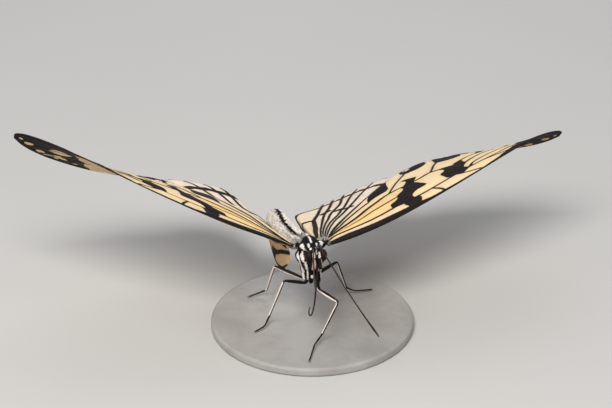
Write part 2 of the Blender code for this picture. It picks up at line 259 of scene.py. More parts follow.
def scale_rows_group():
    """Rows of tiny scales: a grain for colour and height, with a slower mottle over it."""
    tree, given, gives = group(
        "scale_rows", {"Place": None, "Grain per mm": 14.0, "Mottle per mm": 0.9}, ("Mottle", "Height"))
    grain = node(tree, "ShaderNodeTexVoronoi", {"Vector": given["Place"], "Scale": given["Grain per mm"]},
                 feature="SMOOTH_F1").outputs["Distance"]
    slow = noise(tree, given["Place"], given["Mottle per mm"], 4.0, 0.6)
    fine = noise(tree, given["Place"], given["Grain per mm"], 2.0)
    both = calc(tree, "MULTIPLY_ADD", fine, 0.35, calc(tree, "MULTIPLY", slow, 0.65))
    tree.links.new(both, gives["Mottle"])
    tree.links.new(calc(tree, "SUBTRACT", 1.0, grain), gives["Height"])
    return tree


def marking_group():
    """A marking's mask from its depth in millimetres, with an edge that wanders a little."""
    tree, given, gives = group(
        "marking_edge", {"Place": None, "Depth mm": 0.0, "Soft mm": 0.12, "Wander mm": 0.1,
                         "Wander per mm": 3.0}, ("Mask",))
    wander = noise(tree, given["Place"], given["Wander per mm"], 3.0)
    wander = calc(tree, "MULTIPLY", calc(tree, "SUBTRACT", wander, 0.5), given["Wander mm"])
    depth = calc(tree, "MULTIPLY_ADD", wander, 2.0, given["Depth mm"])
    soft = given["Soft mm"]
    tree.links.new(between(tree, depth, calc(tree, "MULTIPLY", soft, -1.0), soft), gives["Mask"])
    return tree


SCALE_ROWS = scale_rows_group()
MARKING = marking_group()


def new_material(name, roughness, **fixed):
    """A Principled material, with its tree and its shader's sockets."""
    made = bpy.data.materials.new(name)
    made.use_nodes = True
    shader = made.node_tree.nodes["Principled BSDF"]
    shader.inputs["Roughness"].default_value = roughness
    for label, value in fixed.items():
        shader.inputs[label.replace("_", " ")].default_value = value
    return made, made.node_tree, shader.inputs


def bumped(tree, sockets, height, distance, strength=1.0):
    bump = node(tree, "ShaderNodeBump", {"Height": height, "Distance": distance, "Strength": strength})
    tree.links.new(bump.outputs[0], sockets["Normal"])


BLACK_SCALES = (0.006, 0.005, 0.0045)
BROWN_SCALES = (0.016, 0.010, 0.008)
# A dark tan that stands for painted shade and painted warm reflected light on the wings' undersides, not
# their own colour.
UNDERSIDE_PAINTED_SHADE_TAN = (0.52, 0.30, 0.13)
WARM_WHITE = (0.90, 0.85, 0.77)
SHADED_WHITE = (0.42, 0.38, 0.32)


def wing_material(name, pale, warm, dusky, brown):
    """Pale membrane with black markings by the depth of ink at each place, and painted shade with painted
    warm reflected light on its underside.
    """
    made, tree, sockets = new_material(name, 0.62, Specular_IOR_Level=0.02)
    place = object_place(tree)
    rows = placed(tree, SCALE_ROWS, {"Place": place, "Grain per mm": 9.0, "Mottle per mm": 0.5})
    ink = placed(tree, MARKING, {"Place": place, "Depth mm": attribute(tree, "ink"), "Soft mm": 0.13,
                                 "Wander mm": 0.12, "Wander per mm": 2.2})["Mask"]
    warmth = attribute(tree, "warm")
    ground = blend_colour(tree, warmth, pale, warm)
    mottle = between(tree, rows["Mottle"], 0.35, 0.75)
    ground = blend_colour(tree, calc(tree, "MULTIPLY", mottle, 0.22), ground, dusky)
    # Painted shade and painted warm reflected light: the underside's ground is drawn towards a dark tan, as
    # far as its 'under' value says.
    ground = blend_colour(tree, calc(tree, "MULTIPLY", attribute(tree, "under"), 0.75), ground, UNDERSIDE_PAINTED_SHADE_TAN)
    dust = calc(tree, "MULTIPLY", attribute(tree, "dust"), between(tree, rows["Mottle"], 0.3, 0.6))
    ground = blend_colour(tree, dust, ground, dusky)
    dark = blend_colour(tree, mottle, BLACK_SCALES, brown)
    tree.links.new(blend_colour(tree, ink, ground, dark), sockets["Base Color"])
    tree.links.new(between(tree, ink, 0.0, 1.0, 0.66, 0.48), sockets["Roughness"])
    bumped(tree, sockets, rows["Height"], 0.012 * MM, 0.6)
    return made


def vein_material():
    """Brown-black scales over the ribs."""
    made, tree, sockets = new_material("vein_ribs_black_brown", 0.5, Specular_IOR_Level=0.04)
    place = object_place(tree)
    rows = placed(tree, SCALE_ROWS, {"Place": place, "Grain per mm": 12.0, "Mottle per mm": 0.8})
    colour = blend_colour(tree, between(tree, rows["Mottle"], 0.3, 0.7), BLACK_SCALES, BROWN_SCALES)
    tree.links.new(colour, sockets["Base Color"])
    bumped(tree, sockets, rows["Height"], 0.02 * MM, 0.6)
    return made


def marked_material(name, dark, light, roughness, grain_per_mm, wander=0.07, sheen=0.0):
    """Fur or scales in two colours, by the depth of white at each place."""
    made, tree, sockets = new_material(name, roughness, Specular_IOR_Level=0.04, Sheen_Weight=sheen)
    place = object_place(tree)
    rows = placed(tree, SCALE_ROWS, {"Place": place, "Grain per mm": grain_per_mm, "Mottle per mm": 1.6})
    mask = placed(tree, MARKING, {"Place": place, "Depth mm": attribute(tree, "white"), "Soft mm": 0.06,
                                  "Wander mm": wander, "Wander per mm": 3.5})["Mask"]
    mottle = between(tree, rows["Mottle"], 0.3, 0.75)
    pale = blend_colour(tree, attribute(tree, "warm"), light, WARM_WHITE)
    tone = calc(tree, "MULTIPLY_ADD", attribute(tree, "shade"), 0.4, calc(tree, "MULTIPLY", mottle, 0.4))
    shaded = blend_colour(tree, tone, pale, SHADED_WHITE)
    deep = blend_colour(tree, mottle, dark, tuple(2.2 * c for c in dark))
    tree.links.new(blend_colour(tree, mask, deep, shaded), sockets["Base Color"])
    tree.links.new(between(tree, mask, 0.0, 1.0, roughness - 0.08, roughness + 0.1), sockets["Roughness"])
    bumped(tree, sockets, rows["Height"], 0.03 * MM, 0.7)
    return made


def eye_material():
    """A glossy red-black eye with faint bands."""
    made, tree, sockets = new_material("compound_eye_black", 0.25, Specular_IOR_Level=0.1, Coat_Weight=0.06,
                                        Coat_Roughness=0.1)
    place = object_place(tree)
    bands = noise(tree, place, 1.1, 2.0)
    facets = node(tree, "ShaderNodeTexVoronoi", {"Vector": place, "Scale": 16.0}).outputs["Distance"]
    colour = blend_colour(tree, between(tree, bands, 0.4, 0.65), (0.004, 0.002, 0.002), (0.020, 0.007, 0.004))
    tree.links.new(colour, sockets["Base Color"])
    bumped(tree, sockets, calc(tree, "SUBTRACT", 1.0, facets), 0.006 * MM, 0.5)
    return made


def base_material():
    """A satin grey with a faint cloud and specks."""
    made, tree, sockets = new_material("display_base_satin", 0.42)
    place = object_place(tree)
    cloud = noise(tree, place, 0.12, 5.0, 0.6)
    grain = noise(tree, place, 3.5, 4.0, 0.65)
    colour = blend_colour(tree, between(tree, cloud, 0.35, 0.7), (0.32, 0.31, 0.30), (0.26, 0.25, 0.24))
    speck = between(tree, node(tree, "ShaderNodeTexVoronoi", {"Vector": place, "Scale": 1.4}).outputs[0],
                    0.06, 0.13, 1.0, 0.0)
    colour = blend_colour(tree, calc(tree, "MULTIPLY", speck, 0.2), colour, (0.14, 0.135, 0.13))
    tree.links.new(colour, sockets["Base Color"])
    tree.links.new(between(tree, grain, 0.3, 0.7, 0.36, 0.52), sockets["Roughness"])
    bumped(tree, sockets, grain, 0.03 * MM, 0.5)
    return made


FOREWING_SCALES = wing_material("forewing_cream_and_black", (0.72, 0.59, 0.41), (0.75, 0.53, 0.23),
                                (0.42, 0.27, 0.14), BROWN_SCALES)
HINDWING_SCALES = wing_material("hindwing_white_and_black", (0.72, 0.65, 0.55), (0.72, 0.58, 0.41),
                                (0.36, 0.28, 0.21), (0.045, 0.026, 0.017))
VEIN_SCALES = vein_material()
BODY_SKIN = marked_material("body_skin_black_and_white", (0.007, 0.0065, 0.007), (0.94, 0.86, 0.80),
                            0.62, 11.0)
BODY_FUR = marked_material("body_fur_black_and_white", (0.006, 0.0055, 0.006), (0.98, 0.91, 0.86),
                           0.55, 14.0, sheen=0.02)
LIMB_SCALES = marked_material("limb_black_above_pink_below", (0.008, 0.0065, 0.006), (0.88, 0.76, 0.69),
                              0.45, 10.0, wander=0.05)
PALP_SCALES = marked_material("palp_pink_and_black", (0.012, 0.011, 0.012), (0.66, 0.46, 0.38),
                              0.6, 14.0, sheen=0.02)
ROOT_HAIR = marked_material("wing_root_hair_grey_white", (0.26, 0.24, 0.22), (0.78, 0.73, 0.67),
                            0.6, 14.0, sheen=0.02)
HORN = marked_material("antenna_and_tongue_brown_black", (0.018, 0.012, 0.010), (0.30, 0.20, 0.14),
                       0.38, 12.0)
EYE_GLOSS = eye_material()
BASE_SATIN = base_material()


# --- Meshes ------------------------------------------------------------------------------------------

def add_mesh(name, places, faces, material, attributes=None, smooth=True, sharp=None):
    mesh = bpy.data.meshes.new(name)
    mesh.from_pydata(np.asarray(places).tolist(), [], [tuple(int(v) for v in face) for face in faces])
    if smooth:
        mesh.shade_smooth()
    if sharp:
        mesh.set_sharp_from_angle(angle=radians(sharp))
    mesh.materials.append(material)
    for label, values in (attributes or {}).items():
        if np.ndim(values) == 2:
            mesh.attributes.new(label, "FLOAT_VECTOR", "POINT").data.foreach_set("vector", np.ravel(values))
        else:
            mesh.attributes.new(label, "FLOAT", "POINT").data.foreach_set("value", np.ravel(values))
    mesh.update()
    made = bpy.data.objects.new(name, mesh)
    bpy.context.scene.collection.objects.link(made)
    return made


def set_bake_map(obj, corner_places):
    """The piece's own flat layout, given for each corner of its faces."""
    layout = obj.data.uv_layers.new(name="OFBake")
    layout.data.foreach_set("uv", np.ravel(corner_places))


def corner_vertices(obj):
    indices = np.empty(len(obj.data.loops), int)
    obj.data.loops.foreach_get("vertex_index", indices)
    return indices


def grid_quads(rows, columns, first=0, flip=False, wrap=False):
    """Faces of a grid of places stored row by row, closed across its columns if it wraps."""
    index = first + np.arange(rows * columns).reshape(rows, columns)
    right = np.roll(index, -1, axis=1) if wrap else index[:, 1:]
    left = index if wrap else index[:, :-1]
    quads = np.stack([left[:-1], right[:-1], right[1:], left[1:]], axis=-1).reshape(-1, 4)
    return quads[:, ::-1] if flip else quads


def closed_tube_faces(rings, sides, first=0):
    """Faces of a tube of rings, closed at its ends by the two places that follow its rings."""
    faces = [tuple(face) for face in grid_quads(rings, sides, first=first, wrap=True)]
    last_ring = first + (rings - 1) * sides
    start, end = last_ring + sides, last_ring + sides + 1
    for k in range(sides):
        on = (k + 1) % sides
        faces.append((start, first + on, first + k))
        faces.append((end, last_ring + k, last_ring + on))
    return [face[::-1] for face in faces]


def set_tube_map(obj, sides, around, along):
    """Lays a closed tube flat, by how far round and along it each of its places is."""
    vertices = corner_vertices(obj)
    u = around[vertices]
    starts = np.empty(len(obj.data.polygons), int)
    obj.data.polygons.foreach_get("loop_start", starts)
    sizes = np.append(np.diff(starts), len(vertices) - starts[-1])
    highest = np.maximum.reduceat(u, starts)[np.repeat(np.arange(len(starts)), sizes)]
    on_ring = vertices < len(around) - 2
    u = np.where((highest - u > 0.5) & on_ring, u + 1, u)
    set_bake_map(obj, np.stack([u / (1 + 1 / sides), along[vertices]], axis=1))


def tube_frames(path):
    """A tangent and two steady cross directions at each place along a path."""
    tangent = np.gradient(path, axis=0)
    tangent /= np.linalg.norm(tangent, axis=1)[:, None]
    up = np.array([0, 0, 1.0])
    side = np.cross(tangent[0], up)
    if np.linalg.norm(side) < 0.2:
        side = np.cross(tangent[0], [1.0, 0, 0])
    sides = []
    for way in tangent:
        side = side - way * (side @ way)
        side = side / np.linalg.norm(side)
        sides.append(side)
    sides = np.array(sides)
    return tangent, sides, np.cross(sides, tangent)


def spokes(side, up, sides):
    """Ways out from each place of a path, so many of them evenly round it."""
    angle = np.arange(sides) / sides * tau
    return side[:, None] * np.cos(angle)[None, :, None] + up[:, None] * np.sin(angle)[None, :, None]


def tube_mesh(name, path, radii, material, sides=14, white=None, groove=0.0):
    """A closed limb along a path, with a groove along its top and bottom if one is given."""
    path = np.asarray(path)
    radii = np.asarray(radii)
    tangent, side, up = tube_frames(path)
    out = spokes(side, up, sides)
    angle = np.arange(sides) / sides * tau
    shape = np.ones(sides)
    for middle in (pi / 2, 1.5 * pi):
        shape = shape - groove * np.exp(-((angle - middle) / 0.35) ** 2)
    ring = path[:, None] + out * (radii[:, None] * shape[None])[..., None]
    places = np.vstack([ring.reshape(-1, 3), path[:1] - tangent[:1] * radii[0] * 0.5,
                        path[-1:] + tangent[-1:] * radii[-1] * 0.8])
    values = np.zeros(len(places))
    if white is not None:
        shown = white(ring.reshape(-1, 3), out.reshape(-1, 3))
        values = np.append(shown, [shown[0], shown[-1]])
    lie = np.vstack([tangent.repeat(sides, axis=0), tangent[:1], tangent[-1:]])
    count = len(path)
    made = add_mesh(name, places, closed_tube_faces(count, sides), material,
                    {"white": values, "warm": 0 * values, "lie": lie})
    around = np.append(np.tile(angle / tau, count), [0.5, 0.5])
    length = np.append(np.linspace(0, 1, count).repeat(sides), [0.0, 1.0])
    set_tube_map(made, sides, around, length)
    return made


def root_places(points):
    return ROOT + np.asarray(points, float) * MM


def foot_places(points):
    return SHIFT + [0, 0, FOOT_LEVEL] + np.asarray(points, float) * MM


# --- Geometry node trees -----------------------------------------------------------------------------

def geometry_tree(name, inputs):
    """A tree with a geometry input and named sizes. Gives the tree, its inputs, and a way to end it."""
    tree = bpy.data.node_groups.new(name, "GeometryNodeTree")
    tree.interface.new_socket("Geometry", in_out="INPUT", socket_type="NodeSocketGeometry")
    for label, kind in inputs.items():
        tree.interface.new_socket(label, in_out="INPUT", socket_type="NodeSocket" + kind)
    tree.interface.new_socket("Geometry", in_out="OUTPUT", socket_type="NodeSocketGeometry")
    given = node(tree, "NodeGroupInput").outputs

    def finish(geometry):
        real = node(tree, "GeometryNodeRealizeInstances", {0: geometry}).outputs[0]
        smooth = node(tree, "GeometryNodeSetShadeSmooth", {0: real}).outputs[0]
        done = node(tree, "GeometryNodeSetMaterial", {0: smooth, "Material": given["Material"]}).outputs[0]
        tree.links.new(done, node(tree, "NodeGroupOutput").inputs[0])
        return tree

    return tree, given, finish


def named(tree, name, kind="FLOAT"):
    return node(tree, "GeometryNodeInputNamedAttribute", {"Name": name}, data_type=kind).outputs[0]


def stored(tree, geometry, name, value, kind="FLOAT", domain="POINT"):
    made = node(tree, "GeometryNodeStoreNamedAttribute", {0: geometry, "Name": name}, data_type=kind,
                domain=domain)
    tree.links.new(value, made.inputs["Value"])
    return made.outputs[0]


def random_between(tree, low, high, seed):
    made = node(tree, "FunctionNodeRandomValue", {2: low, 3: high, 8: seed}, data_type="FLOAT")
    return made.outputs[1]


def vein_tree():
    """Round ribs along every chain of edges, as thick as each place's rib attribute says."""
    tree, given, finish = geometry_tree("vein_ribs", {"Sides": "Int", "Material": "Material"})
    curve = node(tree, "GeometryNodeMeshToCurve", {0: given["Geometry"]}).outputs[0]
    circle = node(tree, "GeometryNodeCurvePrimitiveCircle", {0: given["Sides"], 4: 1.0}).outputs[0]
    ribs = node(tree, "GeometryNodeCurveToMesh",
                {0: curve, 1: circle, "Scale": named(tree, "rib"), "Fill Caps": True}).outputs[0]
    return finish(ribs)


# How wide a tuft's patch of the map is, as a share of it.
MAP_PATCH = 0.003


def tuft_tree():
    """Small tufts over a skin, leaning along its lie, each with its place's markings and map patch."""
    tree, given, finish = geometry_tree("tufts", {
        "Tuft": "Object", "Per square metre": "Float", "Length": "Float", "Width": "Float",
        "Lift": "Float", "Seed": "Int", "Material": "Material"})
    density = calc(tree, "MULTIPLY", named(tree, "fur_density"), given["Per square metre"])
    scatter = node(tree, "GeometryNodeDistributePointsOnFaces",
                   {0: given["Geometry"], "Density": density, "Seed": given["Seed"]})
    toned = stored(tree, scatter.outputs[0], "shade", random_between(tree, -1.0, 1.0, 9))
    normal = scatter.outputs["Normal"]
    turned = node(tree, "FunctionNodeAxesToRotation", {0: normal, 1: named(tree, "lie", "FLOAT_VECTOR")},
                  primary_axis="Z", secondary_axis="X").outputs[0]
    lift = calc(tree, "MULTIPLY", given["Lift"], random_between(tree, 0.5, 1.5, 3))
    tilt = node(tree, "FunctionNodeAxisAngleToRotation", {0: (0, -1, 0), 1: lift}).outputs[0]
    sway = node(tree, "FunctionNodeAxisAngleToRotation",
                {0: (0, 0, 1), 1: random_between(tree, -0.45, 0.45, 5)}).outputs[0]
    aimed = turned
    for turn in (sway, tilt):
        aimed = node(tree, "FunctionNodeRotateRotation", {0: aimed, 1: turn},
                     rotation_space="LOCAL").outputs[0]
    usual = calc(tree, "MULTIPLY", named(tree, "fur_length"), given["Length"])
    long = calc(tree, "MULTIPLY", usual, random_between(tree, 0.7, 1.3, 7))
    size = node(tree, "ShaderNodeCombineXYZ", {0: long, 1: given["Width"], 2: long}).outputs[0]
    shape = node(tree, "GeometryNodeObjectInfo", {0: given["Tuft"]}, transform_space="ORIGINAL")
    tufts = node(tree, "GeometryNodeInstanceOnPoints",
                 {0: toned, "Instance": shape.outputs["Geometry"], "Rotation": aimed,
                  "Scale": size}).outputs[0]
    real = node(tree, "GeometryNodeRealizeInstances", {0: tufts}).outputs[0]
    patch = node(tree, "ShaderNodeVectorMath",
                 {0: named(tree, "blade_place", "FLOAT_VECTOR"), 1: (MAP_PATCH, MAP_PATCH, 0.0)},
                 operation="MULTIPLY").outputs[0]
    at = node(tree, "ShaderNodeVectorMath", {0: named(tree, "skin_place", "FLOAT_VECTOR"), 1: patch},
              operation="ADD").outputs[0]
    return finish(stored(tree, real, "OFBake", at, "FLOAT2", "CORNER"))


def eye_tree():
    """A compound eye: a ball of six-sided facets, each raised a little, at the eye's size and place."""
    tree, given, finish = geometry_tree("compound_eye", {
        "Half size": "Vector", "Centre": "Vector", "Fineness": "Int", "Facet height": "Float",
        "Material": "Material"})
    ball = node(tree, "GeometryNodeMeshIcoSphere", {0: 1.0, 1: given["Fineness"]}).outputs[0]
    facets = node(tree, "GeometryNodeDualMesh", {0: ball}).outputs[0]
    raised = node(tree, "GeometryNodeExtrudeMesh",
                  {0: facets, "Offset Scale": given["Facet height"], "Individual": True})
    domes = node(tree, "GeometryNodeScaleElements",
                 {0: raised.outputs[0], "Selection": raised.outputs["Top"], "Scale": 0.72}).outputs[0]
    sized = node(tree, "GeometryNodeTransform",
                 {0: domes, "Scale": given["Half size"], "Translation": given["Centre"]}).outputs[0]
    return finish(sized)


def grown(source, tree, name, inputs):
    """The tree's result on a mesh, as a plain mesh piece."""
    holder = bpy.data.objects.new(name + "_growing", source)
    bpy.context.scene.collection.objects.link(holder)
    modifier = holder.modifiers.new("grow", "NODES")
    modifier.node_group = tree
    for socket in tree.interface.items_tree:
        if socket.item_type == "SOCKET" and socket.in_out == "INPUT" and socket.name in inputs:
            modifier[socket.identifier] = inputs[socket.name]
    bpy.context.view_layer.update()
    seen = holder.evaluated_get(bpy.context.evaluated_depsgraph_get())
    mesh = bpy.data.meshes.new_from_object(seen)
    mesh.name = name
    holder.modifiers.clear()
    bpy.data.objects.remove(holder)
    made = bpy.data.objects.new(name, mesh)
    bpy.context.scene.collection.objects.link(made)
    return made


VEIN_TREE = vein_tree()
TUFT_TREE = tuft_tree()
EYE_TREE = eye_tree()


# --- Wings: form -------------------------------------------------------------------------------------

def unit(vectors):
    return vectors / np.maximum(np.linalg.norm(vectors, axis=-1, keepdims=True), 1e-12)


def wing_axes(pose, x):
    """Along the wing, towards its rear edge, and out of its upper face, at each x."""
    sweep = radians(pose["sweep"])
    rise = radians(pose["dihedral"])
    along = np.array([cos(rise) * cos(sweep), cos(rise) * sin(sweep), sin(rise)])
    level = np.array([-sin(sweep), cos(sweep), 0])
    upper = np.cross(along, level)
    past = np.clip((x - pose["twist_start"]) / (1 - pose["twist_start"]), 0, 1.1)
    tip = np.radians(pose["incidence"] + pose["twist"] * past ** 2)[..., None]
    rear = np.cos(tip) * level - np.sin(tip) * upper
    return along, rear, upper, np.sin(tip) * level + np.cos(tip) * upper


def on_forewing(pose, x, y, under=0.0):
    """Places on the forewing's middle surface, or so far under it."""
    along, rear, upper, face = wing_axes(pose, x)
    lift = pose["arch"] * 4 * x * (1 - x) + pose["wave"] * 10 * x * (1 - x) * (1 - 2 * x)
    camber = pose["camber"] * np.maximum(1 - x, 0) * np.minimum(x / pose["camber_start"], 1)
    bulge = camber * 10 * y * (0.4 - y)
    place = x[..., None] * along + y[..., None] * rear + lift[..., None] * upper + bulge[..., None] * face
    place = place * WING_LENGTH + [WING_ROOT_X, 0, 0] - under * face
    place[..., 2] += pose["curl"] * eased((y - pose["curl_start"]) / pose["curl_width"])
    place[..., 0] *= pose["side"]
    return place + ROOT


def on_hindwing_plain(pose, distance, angle):
    """Places on the hindwing before its inner part folds down."""
    x = distance * np.cos(np.radians(angle))
    y = distance * np.sin(np.radians(angle))
    place = on_forewing(pose, x, y, HINDWING_DROP)
    place[..., 2] += pose["rise"] * WING_LENGTH * np.maximum(0, y - INNER_EDGE_SLOPE * x)
    return place


def on_hindwing(pose, distance, angle):
    """Places on the hindwing, whose inner part folds down beside the abdomen."""
    held = np.minimum(angle, pose["fold_angle"])
    past = np.radians(angle - held)
    along = distance * np.cos(past)
    over = distance * np.sin(past) * WING_LENGTH
    crease = on_hindwing_plain(pose, along, held)
    flat = unit(crease - on_hindwing_plain(pose, along, held - 2))
    tucked = eased((along - TUCK_START) / TUCK_WIDTH)[..., None]
    drop, tuck = np.array(pose["fold_drop"]), np.array(pose["fold_tuck"])
    down = unit(drop + (tuck - drop) * tucked)
    down[..., 0] *= pose["side"]
    turn = over / FOLD_BEND
    bent = np.where(turn < 1, FOLD_BEND * (turn ** 3 - turn ** 4 / 2), over - FOLD_BEND / 2)
    return crease + flat * (over - bent)[..., None] + down * bent[..., None]


def forewing_chart(stations, across):
    """The forewing's chart places, station by station from root to tip, front to rear."""
    front = smooth_line(FOREWING_FRONT)
    rear = smooth_line(FOREWING_REAR)
    tip = FOREWING_FRONT[-1][0]
    x = WING_START + (tip - WING_START) * np.sin(pi / 2 * np.linspace(0, 1, stations))
    low = np.interp(x, *front.T)
    high = np.interp(x, *rear.T)
    share = np.linspace(0, 1, across)
    return np.broadcast_to(x[:, None], (stations, across)), low[:, None] + (high - low)[:, None] * share


def hindwing_chart(stations, across):
    """The hindwing's chart places as distances and angles, front to rear, root to rim."""
    rim = smooth_line(HINDWING_RIM)
    angle = np.linspace(HINDWING_RIM[0][0], HINDWING_RIM[-1][0], stations)
    reach = np.interp(angle, *rim.T)
    ends = np.array(HINDWING_VEIN_ENDS)
    nearest = np.abs(angle[:, None] - ends).min(axis=1)
    reach = reach * (1 - 0.045 * np.exp(-(nearest / 1.5) ** 2))
    share = np.linspace(0, 1, across)
    distance = HINDWING_START + (reach - HINDWING_START)[:, None] * share
    return distance, np.broadcast_to(angle[:, None], (stations, across))


def around(distance, angle):
    """Chart places in x and y from distances and angles."""
    return np.stack([distance * np.cos(np.radians(angle)), distance * np.sin(np.radians(angle))], axis=-1)


# --- Wings: markings ---------------------------------------------------------------------------------

# Every line has its places and its half widths in millimetres, spread evenly along it.
FOREWING_VEINS = {
    "radial": (((0.02, 0.018), (0.04, 0.03), (0.07, 0.042), (0.125, 0.039), (0.1875, 0.031), (0.25, 0.0275),
                (0.28, 0.029), (0.33, 0.026), (0.3875, 0.017), (0.4375, 0.015), (0.52, 0.017),
                (0.6, 0.019), (0.706, 0.02)), (0.2, 0.3, 0.34, 0.34, 0.32, 0.28, 0.25)),
    "cubital": (((0.012, 0.022), (0.0375, 0.045), (0.075, 0.061), (0.125, 0.081), (0.2, 0.1075),
                 (0.25, 0.1325), (0.3125, 0.1575), (0.35, 0.173), (0.3875, 0.1775), (0.425, 0.171)),
                (0.25, 0.36, 0.42, 0.46, 0.42, 0.34)),
    "cell_end": (((0.425, 0.171), (0.455, 0.168), (0.481, 0.164), (0.531, 0.17), (0.556, 0.151),
                  (0.581, 0.136), (0.625, 0.089)), (0.3, 0.36, 0.42, 0.4, 0.3)),
    "second_branch": (((0.369, 0.176), (0.406, 0.214), (0.4375, 0.245), (0.475, 0.276), (0.5125, 0.3075),
                       (0.535, 0.345), (0.553, 0.381)), (0.22, 0.26, 0.3, 0.5)),
    "first_branch": (((0.5375, 0.173), (0.5625, 0.201), (0.581, 0.226), (0.62, 0.268), (0.665, 0.315),
                      (0.70, 0.344)), (0.26, 0.28, 0.28, 0.4)),
    "anal": (((0.015, 0.026), (0.08, 0.073), (0.125, 0.1), (0.1625, 0.126), (0.206, 0.151), (0.25, 0.176),
              (0.3, 0.201)), (0.2, 0.28, 0.32, 0.36)),
    "oblique": (((0.6, -0.0425), (0.575, -0.024), (0.55, 0.001), (0.545, 0.018)), (0.22, 0.26, 0.32)),
    "third_branch": (((0.61, 0.135), (0.64, 0.148), (0.70, 0.18), (0.78, 0.215), (0.85, 0.243)),
                     (0.36, 0.3, 0.26, 0.4)),
    "lower_median": (((0.625, 0.089), (0.6625, 0.1075), (0.72, 0.132), (0.82, 0.158), (0.93, 0.179)),
                     (0.36, 0.3, 0.24, 0.4)),
    "upper_median": (((0.6, 0.023), (0.625, 0.045), (0.6625, 0.0575), (0.76, 0.08), (0.87, 0.105),
                      (0.975, 0.126)), (0.36, 0.28, 0.24, 0.24, 0.4)),
    "tip_rear": (((0.706, 0.02), (0.8, 0.035), (0.9, 0.064), (0.99, 0.085)), (0.24, 0.24, 0.24, 0.3)),
    "tip_middle": (((0.76, 0.028), (0.84, 0.026), (0.92, 0.034), (0.985, 0.046)), (0.22, 0.22, 0.3)),
    "tip_front": (((0.65, 0.019), (0.72, -0.004), (0.80, -0.03)), (0.26, 0.3, 0.4)),
}
FOREWING_LINES = {
    "cell_line": (((0.1, 0.06), (0.1875, 0.07), (0.25, 0.084), (0.344, 0.094)), (0.1, 0.22, 0.26, 0.3)),
    "cross_bar": (((0.447, -0.05), (0.445, -0.033), (0.44, 0.014)), (0.3, 0.3)),
    "rear_edge": (((0.02, 0.036), (0.05, 0.058), (0.1, 0.098), (0.2, 0.174), (0.28, 0.23), (0.36, 0.283)),
                  (0.25, 0.34, 0.36, 0.34)),
    "front_band": (((0.0, 0.0), (0.05, -0.012), (0.1, -0.022), (0.18, -0.036), (0.25, -0.044),
                    (0.32, -0.049), (0.40, -0.053), (0.5, -0.055), (0.6, -0.053), (0.68, -0.047),
                    (0.74, -0.041), (0.80, -0.032), (0.85, -0.022), (0.9, -0.008), (0.955, 0.014),
                    (0.988, 0.045)),
                   (1.2, 1.8, 2.3, 2.05, 1.95, 1.6, 0.75, 0.6, 0.55, 0.75, 2.0, 3.1, 3.6, 4.0, 4.2, 4.2)),
    "outer_band": (FOREWING_REAR[:4:-1],
                   (4.0, 4.2, 4.2, 4.0, 3.8, 3.6, 3.6, 3.4, 2.6)),
}
FOREWING_BLOTCHES = {
    "front_bar": ((0.318, -0.036), (0.36, -0.036), (0.3875, 0.017), (0.328, 0.022)),
    "middle": ((0.2875, 0.028), (0.3, 0.0575), (0.331, 0.07), (0.347, 0.086), (0.356, 0.104),
               (0.394, 0.126), (0.409, 0.151), (0.4125, 0.172), (0.431, 0.178), (0.456, 0.204),
               (0.455, 0.229), (0.463, 0.238), (0.49, 0.206), (0.494, 0.195), (0.469, 0.17),
               (0.459, 0.151), (0.455, 0.1075), (0.453, 0.067), (0.4125, 0.0625), (0.3875, 0.051),
               (0.375, 0.036), (0.37, 0.014), (0.33, 0.016)),
    "rear": ((0.3, 0.201), (0.3375, 0.2075), (0.381, 0.217), (0.406, 0.239), (0.419, 0.27),
             (0.4375, 0.3075), (0.4625, 0.3575), (0.472, 0.392), (0.4375, 0.372), (0.4, 0.339),
             (0.369, 0.3075), (0.344, 0.27), (0.3125, 0.226)),
    "outer": ((0.51, 0.023), (0.53, 0.018), (0.55, -0.004), (0.597, 0.021), (0.59, 0.045),
              (0.625, 0.0825), (0.631, 0.114), (0.644, 0.145), (0.6, 0.128), (0.58, 0.136),
              (0.556, 0.153), (0.553, 0.12), (0.544, 0.098), (0.519, 0.0825), (0.51, 0.045)),
    "far_rear": ((0.505, 0.325), (0.52, 0.29), (0.552, 0.278), (0.585, 0.292), (0.612, 0.325), (0.625, 0.375),
                 (0.575, 0.385), (0.53, 0.37)),
    "far_middle": ((0.615, 0.27), (0.635, 0.235), (0.665, 0.225), (0.70, 0.24), (0.72, 0.30), (0.68, 0.32),
                   (0.64, 0.33)),
    "far_front": ((0.735, 0.19), (0.775, 0.18), (0.815, 0.196), (0.80, 0.234), (0.75, 0.227)),
    "apex": ((0.80, -0.05), (0.815, 0.02), (0.80, 0.08), (0.79, 0.14), (0.775, 0.2), (0.76, 0.31),
             (1.05, 0.2), (1.05, -0.04)),
}
# White spots in the black: middle, direction, half length and half width in millimetres.
FOREWING_SPOTS = (
    ((0.545, 0.352), (0.4, 1.0), 1.2, 0.9), ((0.85, 0.115), (1.0, 0.15), 2.5, 2.3),
    ((0.95, 0.10), (1.0, 0.4), 1.0, 0.9), ((0.915, 0.162), (0.8, -0.5), 1.1, 0.75),
    ((0.885, 0.188), (0.8, -0.6), 1.1, 0.5), ((0.845, 0.208), (0.8, -0.5), 1.4, 0.55),
    ((0.972, 0.07), (0.3, -1.0), 0.5, 0.4),
)
FOREWING_CELL = ((0.03, 0.028), (0.07, 0.043), (0.16, 0.034), (0.26, 0.028), (0.34, 0.028), (0.42, 0.06),
                 (0.42, 0.17), (0.35, 0.18), (0.25, 0.14), (0.16, 0.095), (0.08, 0.065))
FOREWING_VEIN_ENDS = ((0.93, 0.179), (0.85, 0.243), (0.70, 0.344), (0.56, 0.385))
# Spots between each two vein ends: share of the way along, how far in, half length and half width.
FOREWING_MARGIN_SPOTS = ((0.5, 2.9, 1.15, 0.95), (0.28, 1.1, 0.5, 0.6), (0.72, 1.1, 0.5, 0.6))

